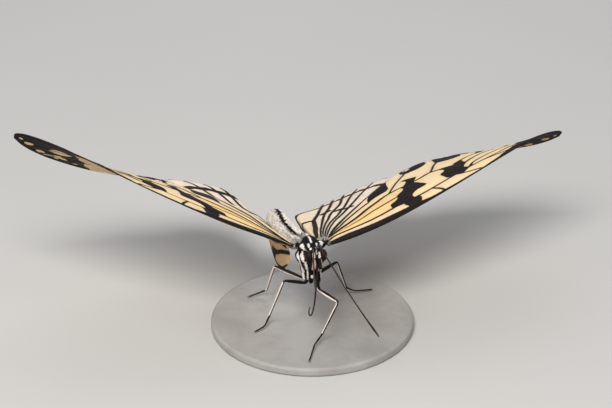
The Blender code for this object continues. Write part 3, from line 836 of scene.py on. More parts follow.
HINDWING_VEINS = {
    "anal": (((0.1, 74), (0.15, 71), (0.19, 68.5), (0.23, 67.8), (0.27, 67.5)), (0.4, 0.55, 0.55, 0.5)),
    "anal_inner": (((0.27, 67.5), (0.268, 70), (0.26, 75), (0.245, 80), (0.21, 86)), (0.4, 0.42, 0.4, 0.36)),
    "anal_outer": (((0.27, 67.5), (0.3, 65.6), (0.335, 63.8), (0.38, 62.8), (0.42, 62), (0.52, 61.5)),
                   (0.42, 0.4, 0.36, 0.36)),
    "cubital": (((0.1, 66.6), (0.2, 62.5), (0.26, 61), (0.33, 59.6), (0.36, 58.6), (0.42, 57.5), (0.57, 58)),
                (0.22, 0.28, 0.32, 0.36, 0.36)),
    "lower_branch": (((0.1, 63.4), (0.23, 58.5), (0.27, 57), (0.32, 56), (0.36, 54.5), (0.42, 52.8),
                      (0.5, 53.5), (0.61, 54.5)), (0.2, 0.28, 0.32, 0.34, 0.34)),
    "middle_branch": (((0.1, 60), (0.22, 55.5), (0.27, 53), (0.31, 51), (0.35, 50.3), (0.39, 49.5),
                       (0.45, 49.6), (0.52, 50), (0.65, 50.5)), (0.2, 0.26, 0.3, 0.32, 0.32)),
    "upper_branch": (((0.1, 56.6), (0.25, 51.5), (0.29, 49.5), (0.33, 48), (0.4, 46.5), (0.5, 45.8),
                      (0.69, 46)), (0.2, 0.26, 0.3, 0.3, 0.3)),
    "median": (((0.1, 52.6), (0.25, 46), (0.36, 43), (0.46, 41), (0.58, 40), (0.71, 39.5)),
               (0.24, 0.3, 0.3, 0.3, 0.3)),
    "radial": (((0.1, 47), (0.24, 40), (0.36, 36), (0.5, 34), (0.7, 33)), (0.24, 0.3, 0.3, 0.3)),
    "front": (((0.1, 36), (0.22, 32), (0.36, 29), (0.5, 27.5), (0.66, 27)), (0.24, 0.3, 0.3, 0.3)),
    "flank": (((0.12, 84), (0.15, 83), (0.2, 82), (0.25, 82.5), (0.3, 82)), (0.2, 0.24, 0.2)),
}
# What the right hindwing's hanging fold shows of its inner veins.
FOLD_VEINS = {
    "fold": (((0.225, 87), (0.217, 83), (0.208, 79), (0.195, 76.5), (0.171, 74.5), (0.121, 74.8),
              (0.085, 76)), (0.26, 0.34, 0.4, 0.4)),
    "hem": (((0.197, 88.4), (0.16, 90.6), (0.13, 91.5)), (0.15, 0.2, 0.15)),
}
HINDWING_LINES = {
    "cell_bar": (((0.325, 61.8), (0.34, 59.6), (0.362, 57)), (0.4, 0.46, 0.4)),
    "cell_bar_middle": (((0.345, 55), (0.352, 52.8), (0.37, 50)), (0.4, 0.44, 0.4)),
    "cell_bar_front": (((0.36, 49.8), (0.372, 47.6), (0.39, 45)), (0.34, 0.4, 0.34)),
    "outer_ring": (((0.575, 25), (0.605, 30), (0.612, 37), (0.605, 42), (0.585, 47), (0.54, 52), (0.475, 58),
                    (0.425, 64), (0.402, 68.5), (0.39, 72), (0.365, 76), (0.32, 79)),
                   (0.8, 0.9, 0.9, 0.9, 0.85, 0.75, 0.6, 0.45, 0.36, 0.36, 0.36, 0.36)),
    "rim": (tuple((reach, turn) for turn, reach in HINDWING_RIM),
            (0.5, 0.6, 0.6, 0.6, 0.6, 0.6, 0.55, 0.6, 0.8, 1.1, 1.2, 1.1, 0.7, 0.4)),
}
HINDWING_VEIN_ENDS = (23.5, 27, 33, 39.5, 46, 50.5, 54.5, 58, 61.5, 66.5)


def markings(places, tables, polar=False):
    """How deep each chart place lies in the dark lines of these tables, in millimetres. Polar lines
    have distances and angles."""
    depth = np.full(len(places), -np.inf)
    for table in tables:
        for line, widths in table.values():
            line = smooth_line(line)
            line = (around(*line.T) if polar else line) * WING_LENGTH / MM
            depth = np.maximum(depth, -distance_to_line(places * WING_LENGTH / MM, line,
                                                        1.12 * spread(widths, len(line))))
    return depth


def drawn_place(pose, x, y):
    """Where a wing carries the markings of a chart place, as its skin is drawn in towards the root."""
    inward = pose["inward"] - pose["lean"] * np.clip(y, 0, 0.22)
    sag = pose["sag"] * np.sin(pi * np.clip(y / 0.38, 0, 1)) * np.clip((1 - x) * 3, 0, 1)
    return x - inward * np.sin(pi * np.clip(x, 0, 1)), y - sag


def marked_place(pose, x, y):
    """The chart place whose markings a wing carries here."""
    marked_x, marked_y = x, y
    for _ in range(14):
        drawn_x, drawn_y = drawn_place(pose, marked_x, marked_y)
        marked_x, marked_y = marked_x + x - drawn_x, marked_y + y - drawn_y
    return marked_x, marked_y


def margin_spots():
    """The white spots between each two of the forewing's vein ends along its rear margin."""
    rim = smooth_line(FOREWING_REAR)
    ends = FOREWING_VEIN_ENDS
    spots = []
    for first, last in zip(ends, ends[1:]):
        for share, inward, length, width in FOREWING_MARGIN_SPOTS:
            at = np.array(first) + (np.array(last) - np.array(first)) * share
            near = rim[np.argmin(np.linalg.norm(rim - at, axis=1))]
            across = unit(np.array(last) - np.array(first))
            into = np.array([-across[1], across[0]])
            into = into if into @ (np.array([0.35, 0.12]) - near) > 0 else -into
            spots.append((near + into * inward * MM / WING_LENGTH, into, length, width))
    return spots


def spot_depth(places, spots):
    """How deep each chart place lies in the nearest spot, in millimetres."""
    depth = np.full(len(places), -np.inf)
    for centre, into, length, width in spots:
        off = (places - centre) * WING_LENGTH / MM
        along = off @ into
        across = off @ np.array([-into[1], into[0]])
        reach = np.sqrt((along / length) ** 2 + (across / width) ** 2)
        depth = np.maximum(depth, (1 - reach) * min(length, width))
    return depth


def forewing_look(x, y):
    """The forewing's ink above and below, warmth, dust and distance to a vein, at each chart place."""
    places = np.stack([x, y], axis=-1).reshape(-1, 2)
    ink = markings(places, (FOREWING_VEINS, FOREWING_LINES))
    for outline in FOREWING_BLOTCHES.values():
        scaled = np.array(outline) * WING_LENGTH / MM
        ink = np.maximum(ink, blotch_depth(places * WING_LENGTH / MM, scaled))
    spots = margin_spots() + [(np.array(centre), unit(np.array(way)), length, width)
                              for centre, way, length, width in FOREWING_SPOTS]
    ink = np.minimum(ink, -spot_depth(places, spots))
    px, py = places.T
    cell = blotch_depth(places * WING_LENGTH / MM, np.array(FOREWING_CELL) * WING_LENGTH / MM)
    warm = 0.28 - 0.28 * eased((py - 0.12 - 0.2 * px) / 0.1)
    warm = np.clip(warm + 0.75 * eased(cell / 1.2 + 0.5) * eased((0.5 - px) / 0.25), 0, 1)
    dust = 0.2 * eased((px - 0.66) / 0.2) + 0.45 * np.exp(-np.maximum(-ink, 0) / 0.4)
    vein = -markings(places, (FOREWING_VEINS,))
    faded = 5 * np.exp(-((px - 0.70) / 0.06) ** 4) * eased((py - 0.1) / 0.1)
    return ink, np.maximum(ink - faded, -vein), warm, np.clip(dust, 0, 1), vein


def hindwing_look(distance, angle, veins):
    """The same for the hindwing, whose ink is alike on both faces."""
    places = around(distance, angle).reshape(-1, 2)
    ink = markings(places, (veins, HINDWING_LINES), polar=True)
    turn = np.ravel(angle)
    away = np.ravel(distance)
    inner = eased((turn - 63) / 8) * eased((away - 0.08) / 0.08)
    warm = 0.2 + 0.8 * inner * (1 - 0.6 * eased((away - 0.3) / 0.1))
    dust = 0.12 + 0.4 * np.exp(-np.maximum(-ink, 0) / 0.45)
    vein = -markings(places, (veins,), polar=True)
    return ink, ink, np.clip(warm, 0, 1), np.clip(dust, 0, 1), vein


# --- Wings: pieces -----------------------------------------------------------------------------------

def surface_normals(places, side):
    """Which way a grid of places faces."""
    first, second = np.gradient(places, axis=0), np.gradient(places, axis=1)
    return unit(np.cross(first, second)) * side


def wing_sheet(name, places, normals, look, chart, material, underside_painted_shade=1.0):
    """A thin closed wing: both faces and the rim round them, with its markings, map, and painted shade with
    painted warm reflected light on its underside.
    """
    rows, columns = places.shape[:2]
    ink, ink_below, warm, dust, vein = look
    edge = np.ones((rows, columns))
    for way, number in ((0, rows), (1, columns)):
        from_rim = np.minimum(np.arange(number), np.arange(number)[::-1])
        edge *= np.expand_dims(eased(from_rim / MARGIN_STEPS), 1 - way)
    thick = MARGIN_MEMBRANE + (MEMBRANE - MARGIN_MEMBRANE) * edge
    from_vein = np.maximum(vein, 0).reshape(rows, columns) / PLEAT_WIDTH
    pleat = PLEAT * edge * (1 - np.exp(-from_vein ** 2))
    middle = places + normals * (pleat - PLEAT_SET_BACK)[..., None]
    top = (middle + normals * thick[..., None]).reshape(-1, 3)
    bottom = (middle - normals * thick[..., None]).reshape(-1, 3)
    count = rows * columns
    index = np.arange(count).reshape(rows, columns)
    loop = np.concatenate([index[0, :-1], index[:-1, -1], index[-1, :0:-1], index[:0:-1, 0]])
    on = np.roll(loop, -1)
    upper = grid_quads(rows, columns)
    lower = grid_quads(rows, columns, first=count, flip=True)
    rim = np.stack([loop, loop + count, on + count, on], axis=1)
    faces = np.vstack([upper, lower, rim])
    if np.dot(np.cross(top[index[0, 1]] - top[index[0, 0]], top[index[1, 0]] - top[index[0, 0]]),
              normals[0, 0]) < 0:
        faces = faces[:, ::-1]
    # The underside's 'under' value is how much painted shade and painted warm reflected light it takes.
    both = {"ink": np.concatenate([ink, ink_below]), "warm": np.tile(warm, 2), "dust": np.tile(dust, 2),
            "under": np.repeat([0.0, underside_painted_shade], count)}
    made = add_mesh(name, np.vstack([top, bottom]), faces, material, both, sharp=50)
    vertices = corner_vertices(made)
    flat = chart.reshape(-1, 2)
    low, high = flat.min(axis=0), flat.max(axis=0)
    flat = (flat - low) / (high - low)
    corners = flat[vertices % count] * [0.98, 0.48] + [0.01, 0.01]
    face_kind = np.repeat([0, 1, 0], [len(upper), len(lower), len(rim)])
    corners[:, 1] += 0.5 * np.repeat(face_kind, 4)
    set_bake_map(made, corners)
    return made


# How thick a rib is along its vein, in millimetres: at its root, near it, and at the rim.
RIB_SHARES, RIB_RADII = (0, 0.06, 1), (0.05, 0.19, 0.09)


def vein_ribs(name, veins, surface):
    """Raised ribs along the veins, thinner towards the rim, pressed into both faces of the wing."""
    places, edges, ribs = [], [], []
    count = 0
    for line, widths in veins.values():
        line = smooth_line(line, 8)
        here, normal = surface(line)
        share = np.linspace(0, 1, len(line))
        places.append(here - normal * 0.01 * MM)
        edges += [(count + k, count + k + 1) for k in range(len(line) - 1)]
        thick = np.interp(share, RIB_SHARES, RIB_RADII) * (0.8 + 0.5 * spread(widths, len(line)))
        ribs.append(thick * MM)
        count += len(line)
    mesh = bpy.data.meshes.new(name + "_lines")
    mesh.from_pydata(np.vstack(places).tolist(), edges, [])
    mesh.attributes.new("rib", "FLOAT", "POINT").data.foreach_set("value", np.concatenate(ribs))
    made = grown(mesh, VEIN_TREE, name, {"Sides": 8, "Material": VEIN_SCALES})
    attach(made, "root")
    return made


def make_forewing(word, pose):
    x, y = forewing_chart(*FOREWING_GRID)
    places = on_forewing(pose, x, y)
    normals = surface_normals(places, pose["side"])
    wing = wing_sheet("forewing_finished_" + word, places, normals, forewing_look(*marked_place(pose, x, y)),
                      np.stack([x, y], axis=-1), FOREWING_SCALES, pose["underside_painted_shade"])
    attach(wing, "root")
    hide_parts("forewing_" + word)

    def surface(line):
        x, y = drawn_place(pose, line[:, 0], line[:, 1])
        here = on_forewing(pose, x, y)
        along = on_forewing(pose, x + 0.002, y) - here
        across = on_forewing(pose, x, y + 0.002) - here
        return here, unit(np.cross(along, across)) * pose["side"]

    vein_ribs("veins_forewing_" + word, FOREWING_VEINS, surface)


def make_hindwing(word, pose):
    distance, angle = hindwing_chart(*HINDWING_GRID)
    places = on_hindwing(pose, distance, angle)
    normals = -surface_normals(places, pose["side"])
    veins = dict(HINDWING_VEINS)
    if pose["side"] < 0:
        veins = {label: vein for label, vein in veins.items() if label not in ("anal", "anal_inner", "flank")}
        veins.update(FOLD_VEINS)
    # The hindwings' undersides take the full painted shade and painted warm reflected light.
    wing = wing_sheet("hindwing_finished_" + word, places, normals, hindwing_look(distance, angle, veins),
                      around(distance, angle), HINDWING_SCALES)
    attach(wing, "root")
    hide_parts("hindwing_" + word)

    def surface(line):
        here = on_hindwing(pose, line[:, 0], line[:, 1])
        out = on_hindwing(pose, line[:, 0] + 0.002, line[:, 1]) - here
        turn = on_hindwing(pose, line[:, 0], line[:, 1] + 0.3) - here
        return here, unit(np.cross(out, turn)) * pose["side"]

    vein_ribs("veins_hindwing_" + word, veins, surface)


for word, pose in (("left", LEFT), ("right", RIGHT)):
    make_forewing(word, pose)
    make_hindwing(word, pose)


# --- Body: form --------------------------------------------------------------------------------------

TURN = np.array([[1, 0, 0], [0, cos(BODY_PITCH), sin(BODY_PITCH)], [0, -sin(BODY_PITCH), cos(BODY_PITCH)]])

# What makes up the body: rounded masses, each with its middle, half size and keel, in millimetres.
HEAD_MASSES = (
    (HEAD_CENTRE, HEAD_HALF - 0.12, 0.0),
    ((0, -6.25, -0.35), (0.75, 0.6, 0.8), 0.0),
    ((0, -5.4, 2.35), (0.95, 0.7, 0.45), 0.0),
)
THORAX_MASSES = [(THORAX_CENTRE, THORAX_HALF - 0.12, THORAX_KEEL)]
for across, along, high, half in (
        ((0,), -3.3, 1.05, (1.45, 0.8, 0.85)),
        ((1.75, -1.85), -0.6, 0.9, (0.85, 1.7, 0.75)),
        ((2.6,), -0.6, 0.6, (0.85, 1.1, 0.65)),
        ((2.9, -2.9), 1.3, 0.3, (1.4, 1.7, 0.75)),
        ((1.45, -1.6), 0.4, -4.7, (0.8, 1.3, 1.6)),
        ((1.35, -1.5), -0.7, -6.3, (0.6, 0.8, 1.2)),
        ((0.75, -0.85), -1.9, -5.7, (0.6, 0.9, 1.1)),
        ((0.7, -0.85), 2.2, -5.7, (0.6, 1.0, 0.9))):
    THORAX_MASSES += [((x, along, high), half, 0.0) for x in across]
NECK = ((0, -4.7, 0.6), (-0.05, -2.6, -0.3))
WAIST = ((-0.2, 4.2, -2.0), (-0.6, 6.4, -1.9))
BODY_SPINE = ((0, -7.2, 0.45), (0, -6.4, 0.65), (0, -5.3, 0.8), (0, -4.3, 0.45), (-0.05, -3.2, -0.3),
              (-0.1, -1.5, -1.3), (-0.1, 0.9, -1.9), (-0.2, 3.2, -2.1), (-0.4, 5.0, -1.95), *ABDOMEN_PATH,
              (-3.8, 27.6, -6.2))


def mass_depth(places, centre, half, keel):
    """How deep places lie in a rounded mass, which a keel narrows below and on top."""
    local = (places - centre) @ TURN / half
    if keel:
        below = np.clip(-local[:, 2], 0, 1) ** 1.3
        local[:, 0] /= 1 - keel * below - THORAX_SHOULDER * eased(local[:, 2] / 0.35 + 0.2)
    reach = np.linalg.norm(local, axis=1)
    steep = np.linalg.norm(local / half, axis=1)
    return reach * (1 - reach) / np.maximum(steep, 1e-6)


def merged(first, second, round_off):
    """The depth in two masses together, with a rounded valley between them."""
    share = np.clip(0.5 + 0.5 * (first - second) / round_off, 0, 1)
    return second + (first - second) * share + round_off * share * (1 - share)


def abdomen_line():
    """The abdomen's middle line with its radii, pinched between segments, and the share along it."""
    line = smooth_line(ABDOMEN_PATH, 12)
    t = np.linspace(0, 1, len(line))
    form = np.minimum(1, 0.55 + 2.2 * t) * np.minimum(1, (1 - t) * 7.5 + 0.06) ** 0.5
    fold = (t * ABDOMEN_SEGMENTS) % 1
    pinch = 1 - 0.075 * np.exp(-((fold - 0.06) / 0.07) ** 2) - 0.075 * np.exp(-((fold - 1.06) / 0.07) ** 2)
    pinch -= 0.012 * np.sin(fold * tau * 3) ** 2
    return line, (ABDOMEN_RADIUS * form * pinch) - 0.06, t


# How rounded the valleys are where the masses meet.
WAIST_ROUND, THORAX_ROUND, NECK_ROUND, HEAD_ROUND = 0.5, 0.35, 0.3, 0.22


def body_depth(places):
    """How deep places lie in the whole body, in millimetres."""
    line, radii, _ = abdomen_line()
    depth = -distance_to_line(places, line, radii)
    depth = merged(depth, -distance_to_line(places, np.array(WAIST), (1.15, 1.2)), WAIST_ROUND)
    for mass in THORAX_MASSES:
        depth = merged(depth, mass_depth(places, *mass), THORAX_ROUND)
    depth = merged(depth, -distance_to_line(places, np.array(NECK), (0.95, 1.05)), NECK_ROUND)
    for mass in HEAD_MASSES:
        depth = merged(depth, mass_depth(places, *mass), HEAD_ROUND)
    return depth


# How many places go round the body, and how far apart its rings are on the head, thorax and abdomen.
BODY_SIDES = 112
HEAD_RUN, THORAX_RUN = 3.6, 13
HEAD_GAP, THORAX_GAP, ABDOMEN_GAP, POLE_GAP = 0.085, 0.13, 0.15, 0.015


def body_stations():
    """Places along the spine, close together at the poles and on the head."""
    line = smooth_line(BODY_SPINE, 24)
    run = np.append(0, np.cumsum(np.linalg.norm(np.diff(line, axis=0), axis=1)))
    fine = np.arange(0, run[-1], 0.01)
    at = np.stack([np.interp(fine, run, line[:, k]) for k in range(3)], axis=1)
    held = fine[body_depth(at) > 0]
    start, end = held[0], held[-1]
    stops = [start + POLE_GAP]
    while stops[-1] < end - 2 * POLE_GAP:
        here = stops[-1]
        run_here = here - start
        usual = HEAD_GAP if run_here < HEAD_RUN else THORAX_GAP if run_here < THORAX_RUN else ABDOMEN_GAP
        stops.append(here + min(usual, POLE_GAP + 0.3 * run_here, 0.012 + 0.3 * (end - here)))
    stops = np.array([start, *stops, end])
    spine = np.stack([np.interp(stops, run, line[:, k]) for k in range(3)], axis=1)
    return spine, stops - start


def body_surface():
    """The body's skin as rings of places, with its spine and how far along that each ring is."""
    spine, run = body_stations()
    tangent, side, up = tube_frames(spine)
    ways = spokes(side, up, BODY_SIDES)[1:-1].reshape(-1, 3)
    starts = np.repeat(spine[1:-1], BODY_SIDES, axis=0)
    inner = np.zeros(len(starts))
    outer = np.full(len(starts), np.nan)
    for reach in np.arange(0.1, 7, 0.2):
        left = np.isnan(outer)
        if not left.any():
            break
        index = np.nonzero(left)[0]
        inside = body_depth(starts[index] + ways[index] * reach) > 0
        inner[index[inside]] = reach
        outer[index[~inside]] = reach
    outer = np.where(np.isnan(outer), inner, outer)
    for _ in range(9):
        middle = (inner + outer) / 2
        inside = body_depth(starts + ways * middle[:, None]) > 0
        inner = np.where(inside, middle, inner)
        outer = np.where(inside, outer, middle)
    reach = (inner + outer) / 2
    rings = (starts + ways * reach[:, None]).reshape(len(spine) - 2, BODY_SIDES, 3)
    return rings, spine, run, tangent


# --- Body: markings, as strokes of white with their half widths, in millimetres from the wing roots ---

WHITE_STROKES = (
    # back of the thorax
    (((-0.45, 2.4, 1.7), (-0.43, 1.63, 1.87), (-0.35, 0.77, 1.98), (-0.26, 0.0, 1.94), (-0.23, -0.89, 1.73)),
     (0.12, 0.17, 0.2, 0.17), False),
    (((-0.86, -1.18, 1.42), (-0.93, -1.59, 1.16)), (0.32, 0.3), False),
    (((0.85, -1.02, 1.39), (1.04, -1.66, 1.15)), (0.28, 0.28), False),
    (((1.73, -0.5, 1.64), (2.04, -1.19, 1.35)), (0.34, 0.36), False),
    (((3.0, -1.1, 1.2), (2.95, -1.5, 0.7)), (0.24, 0.24), False),
    (((-2.63, -1.16, 1.14), (-2.17, -1.23, 1.42)), (0.38, 0.34), False),
    # flanks
    (((-2.95, 0.2, 0.4), (-2.85, 0.9, -0.5), (-2.7, 1.3, -1.3)), (0.1, 0.1), True),
    (((-2.14, -1.05, -0.42), (-2.32, -1.37, -0.87), (-2.3, -2.21, -1.24), (-2.17, -2.48, -1.83)),
     (0.42, 0.52, 0.44, 0.26), True),
    (((-1.77, -2.88, -1.88), (-1.71, -2.82, -2.4), (-1.54, -2.67, -3.11), (-1.22, -1.82, -4.58),
      (-1.12, -2.26, -5.33), (-1.11, -2.57, -6.26)), (0.26, 0.36, 0.34, 0.32, 0.3), True),
    (((-2.9, 1.5, -0.9), (-3.0, 0.27, -1.51), (-3.0, -1.02, -1.67), (-2.74, -1.28, -2.53),
      (-2.28, -0.47, -3.99), (-2.0, -0.73, -4.86), (-1.95, -0.9, -5.7), (-1.9, -1.1, -6.8)),
     (0.26, 0.36, 0.36, 0.34, 0.34, 0.4), True),
    (((-3.1, 2.9, -0.8), (-3.0, 2.8, -2.2), (-2.6, 2.5, -3.8), (-2.0, 2.2, -5.0)), (0.2, 0.25, 0.22), True),
    # collar and head
    (((-1.47, -1.83, 0.83), (-1.51, -1.79, 0.5)), (0.16, 0.14), True),
    (((-0.84, -3.51, 1.69), (-0.86, -3.77, 1.49)), (0.25, 0.25), True),
    (((-0.03, -5.2, 2.85), (-0.04, -6.06, 2.45), (-0.02, -6.42, 1.78)), (0.1, 0.13, 0.13), False),
    (((-0.62, -6.1, 1.9), (-0.64, -6.5, 1.2)), (0.26, 0.3), True),
)


# How far the abdomen's dark stripe is turned from its top, in degrees, at its front and at its tail,
# and how far the thin lines on its flanks are.
STRIPE_TURNS = (-24, 18)
FLANK_LINE_TURN = 108


def mirrored(points):
    """A stroke's places on the other side of the body's middle."""
    return tuple((-x - 0.1, y, z) for x, y, z in points)


def white_depth(places):
    """How deep each place of the skin lies in the white, in millimetres."""
    depth = np.full(len(places), -3.0)
    for points, widths, both_sides in WHITE_STROKES:
        for stroke in ((points, mirrored(points)) if both_sides else (points,)):
            line = smooth_line(stroke, 4) if len(stroke) > 1 else np.array([stroke[0], stroke[0]])
            depth = np.maximum(depth, -distance_to_line(places, line, spread(widths, len(line))))
    line, _, share = abdomen_line()
    nearest = np.argmin(np.linalg.norm(places[:, None] - line[None, ::6], axis=2), axis=1) * 6
    t = share[nearest]
    off = places - line[nearest]
    _, side, up = tube_frames(line)
    turn = np.degrees(np.arctan2(np.einsum("ij,ij->i", off, side[nearest]),
                                 np.einsum("ij,ij->i", off, up[nearest])))
    fold = np.abs((t * ABDOMEN_SEGMENTS) % 1 - 0.5) * 2
    stripe = np.radians(np.abs(turn - np.interp(t, (0, 1), STRIPE_TURNS))) * ABDOMEN_RADIUS
    stripe -= 0.4 + 0.14 * fold ** 2
    flank = np.radians(np.abs(np.abs(turn) - FLANK_LINE_TURN)) * ABDOMEN_RADIUS - (0.10 + 0.12 * fold ** 3)
    stripe = np.minimum(stripe, np.where(t > 0.1, flank, 1.0))
    on_abdomen = places[:, 1] > 5.6
    return np.where(on_abdomen, np.clip(stripe, -1, 1), depth)


def make_body():
    """The skin of head, thorax and abdomen in one, with its markings and what its fur needs."""
    rings, spine, run, tangent = body_surface()
    count, sides = rings.shape[:2]
    places = np.vstack([rings.reshape(-1, 3), spine[:1], spine[-1:]])
    white = white_depth(places)
    along = np.append(run[1:-1].repeat(sides), [0.0, run[-1]])
    lie = np.vstack([tangent[1:-1].repeat(sides, axis=0), tangent[:1], tangent[-1:]])
    eye_gap = np.full(len(places), np.inf)
    for side in (-1, 1):
        centre = HEAD_CENTRE + EYE_OFFSET * [side, 1, 1]
        reach = np.linalg.norm((places - centre) / (EYE_HALF + 0.03), axis=1)
        eye_gap = np.minimum(eye_gap, reach - 1)
    on_head, on_abdomen = along < 3.7, along > 13.6
    fur = np.where(on_head, 0.42, np.where(on_abdomen, 0.5, 1.0))
    fur = fur * np.clip(0.25 + eye_gap * 1.4, 0, 1)
    density = np.where(on_head, 1.5, np.where(on_abdomen, 0.75, 1.0)) * (eye_gap > 0)
    angle = np.append(np.tile(np.arange(sides) / sides, count), [0.5, 0.5])
    skin_place = np.stack([angle, along / run[-1], np.zeros(len(places))], axis=1)
    made = add_mesh("body_skin", ROOT + places * MM, closed_tube_faces(count, sides), BODY_SKIN,
                    {"white": white, "warm": eased((along - 12.6) / 1.2), "lie": lie, "fur_length": fur,
                     "fur_density": density, "skin_place": skin_place})
    set_tube_map(made, sides, angle, along / run[-1])
    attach(made, "root")
    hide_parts("thorax", "head", "abdomen")
    return made


# --- Fur ---------------------------------------------------------------------------------------------

def tuft_shape(name, blades, fan, arch, thick=0.045):
    """A tuft of pointed three-sided blades, one unit long along X and one unit wide."""
    places, faces, inside = [], [], []
    for k in range(blades):
        side = 0 if blades == 1 else (k / (blades - 1) - 0.5)
        length = 1.0 - 0.22 * abs(side) * 2
        first = len(places)
        for t, wide in ((0.0, 0.8), (0.45, 1.0)):
            x, z = length * t, arch * (t - t * t)
            y = side * (0.5 + fan * t)
            for dy, dz in ((-0.17, 0), (0.17, 0), (0, 1)):
                places.append((x, y + dy * wide, z + dz * thick * wide))
                inside.append((t, 0.5 + side * 0.6 + dy, 0))
        places.append((length, side * (0.5 + fan), -arch * 0.05))
        inside.append((1.0, 0.5 + side, 0))
        low, high, tip = first, first + 3, first + 6
        faces.append((low, low + 2, low + 1))
        for a, b in ((0, 1), (1, 2), (2, 0)):
            faces.append((low + a, low + b, high + b, high + a))
            faces.append((high + a, high + b, tip))
    mesh = bpy.data.meshes.new(name)
    mesh.from_pydata(places, [], faces)
    values = mesh.attributes.new("blade_place", "FLOAT_VECTOR", "POINT")
    values.data.foreach_set("vector", np.ravel(inside))
    return bpy.data.objects.new(name, mesh)


def part_of(skin, name, keep):
    """A copy of a skin's mesh with only the faces whose middle is kept."""
    mesh = skin.data
    centres = np.empty(len(mesh.polygons) * 3)
    mesh.polygons.foreach_get("center", centres)
    kept = keep((centres.reshape(-1, 3) - ROOT) / MM)
    faces = [tuple(face.vertices) for face, held in zip(mesh.polygons, kept) if held]
    copy = bpy.data.meshes.new(name)
    copy.from_pydata([vertex.co for vertex in mesh.vertices], [], faces)
    for label in ("white", "warm", "fur_length", "fur_density", "lie", "skin_place"):
        kind, field, size = ("FLOAT_VECTOR", "vector", 3) if label in ("lie", "skin_place") else (
            "FLOAT", "value", 1)
        values = np.empty(len(mesh.vertices) * size)
        mesh.attributes[label].data.foreach_get(field, values)
        copy.attributes.new(label, kind, "POINT").data.foreach_set(field, values)
    return copy


def everywhere(places):
    return np.ones(len(places), bool)


def grow_fur(skin, name, tuft, per_mm2, length, width, lift, seed, material, keep=everywhere):
    """Tufts on the part of a skin that is kept: so many per square millimetre, sizes in millimetres,
    and their lift off the skin in degrees."""
    source = part_of(skin, name + "_skin", keep)
    made = grown(source, TUFT_TREE, name, {
        "Tuft": tuft, "Per square metre": per_mm2 * 1e6, "Length": length * MM, "Width": width * MM,
        "Lift": radians(lift), "Seed": seed, "Material": material})
    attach(made, "root")
    return made


FUR_TUFT = tuft_shape("fur_tuft", 3, 0.5, 0.22)
SCALE_TUFT = tuft_shape("scale_tuft", 2, 0.2, 0.1)
HAIR_TUFT = tuft_shape("hair_tuft", 3, 0.9, 0.3, thick=0.03)
SPINE_TUFT = tuft_shape("single_spine", 1, 0.0, 0.05, thick=0.1)

BODY = make_body()
grow_fur(BODY, "fur_head", SCALE_TUFT, 75, 0.7, 0.13, 14, 11, BODY_FUR,
         lambda p: p[:, 1] < NECK_Y)
grow_fur(BODY, "fur_thorax", SCALE_TUFT, 38, 0.36, 0.17, 10, 12, BODY_FUR,
         lambda p: (p[:, 1] >= NECK_Y) & (p[:, 1] < WAIST_Y))
grow_fur(BODY, "hair_wing_roots", HAIR_TUFT, 3.5, 1.5, 0.3, 20, 14, ROOT_HAIR,
         lambda p: (np.abs(p[:, 0]) > 1.9) & (np.abs(p[:, 1] - 2.0) < 1.7) & (p[:, 2] > 0.0))
grow_fur(BODY, "hair_waist", HAIR_TUFT, 4, 1.9, 0.3, 14, 15, ROOT_HAIR,
         lambda p: (np.abs(p[:, 1] - 5.4) < 1.3) & (p[:, 2] > -2.4))
grow_fur(BODY, "fur_abdomen", FUR_TUFT, 22, 1.9, 0.26, 8, 13, BODY_FUR,
         lambda p: p[:, 1] >= WAIST_Y)


# --- Eyes --------------------------------------------------------------------------------------------

def make_eyes():
    """Two compound eyes of six-sided facets."""
    for word, side in (("left", 1), ("right", -1)):
        centre = root_places([HEAD_CENTRE + EYE_OFFSET * [side, 1, 1]])[0]
        made = grown(bpy.data.meshes.new("eye_seed"), EYE_TREE, "eye_faceted_" + word, {
            "Half size": tuple(EYE_HALF * MM), "Centre": tuple(centre), "Fineness": 5,
            "Facet height": 0.012, "Material": EYE_GLOSS})
        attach(made, "root")
        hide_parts("eye_" + word)


make_eyes()


# --- Legs, antennae, tongue and palps ----------------------------------------------------------------

LEGS = {
    "midleg_left": ((0.7, -1.2, 11.9), (1.0, -3.0, 9.3), (3.9, -10.4, 10.1), (0.7, -8.4, 1.2),
                    (-1.4, -11.4, 0.7), (-3.4, -16.7, 0.2)),
    "midleg_right": ((-0.7, -0.9, 11.9), (-1.4, -0.9, 10.0), (-6.6, -3.5, 12.5), (-9.2, 0.9, 1.5),
                     (-10.5, -1.4, 0.5), (-12.6, -2.7, 0.2)),
    "hindleg_left": ((0.75, 2.4, 11.75), (1.5, 2.4, 10.1), (6.2, 3.7, 12.0), (9.7, 10.8, 1.2),
                     (11.4, 10.3, 0.6), (15.2, 10.9, 0.2)),
    "hindleg_right": ((-0.8, 2.4, 11.7), (-1.5, 2.2, 9.5), (-7.3, 5.0, 11.5), (-7.8, 13.0, 1.2),
                      (-9.2, 13.2, 0.6), (-11.6, 12.6, 0.2)),
}
# Each segment's radii in millimetres: coxa, femur, shin, then the foot's joints.
SEGMENT_RADII = ((0.5, 0.46, 0.36), (0.3, 0.4, 0.40, 0.36, 0.24), (0.22, 0.26, 0.24, 0.21, 0.24),
                 (0.2, 0.2, 0.16), (0.17, 0.19, 0.145, 0.18, 0.14, 0.17, 0.15))
ANTENNAE = {
    "left": ((0.8, -6.3, 2.8), (2.0, -8.9, 1.6), (4.5, -13.9, -2.2), (7.5, -19.4, -6.2), (10.0, -24.0, -9.2)),
    "right": ((-0.75, -6.2, 2.8), (-1.3, -9.5, 4.0), (-2.4, -16.0, 5.2), (-3.5, -23.0, 5.8),
              (-4.2, -28.5, 6.1)),
}
PROBOSCIS = ((0.1, -6.2, -1.0), (0.1, -6.15, -2.4), (0.1, -5.9, -4.5), (-0.05, -5.2, -8.0),
             (-0.25, -4.6, -11.5), (-0.7, -4.3, -13.8), (-1.15, -4.3, -14.1), (-1.35, -4.2, -13.2),
             (-1.1, -4.1, -12.2))
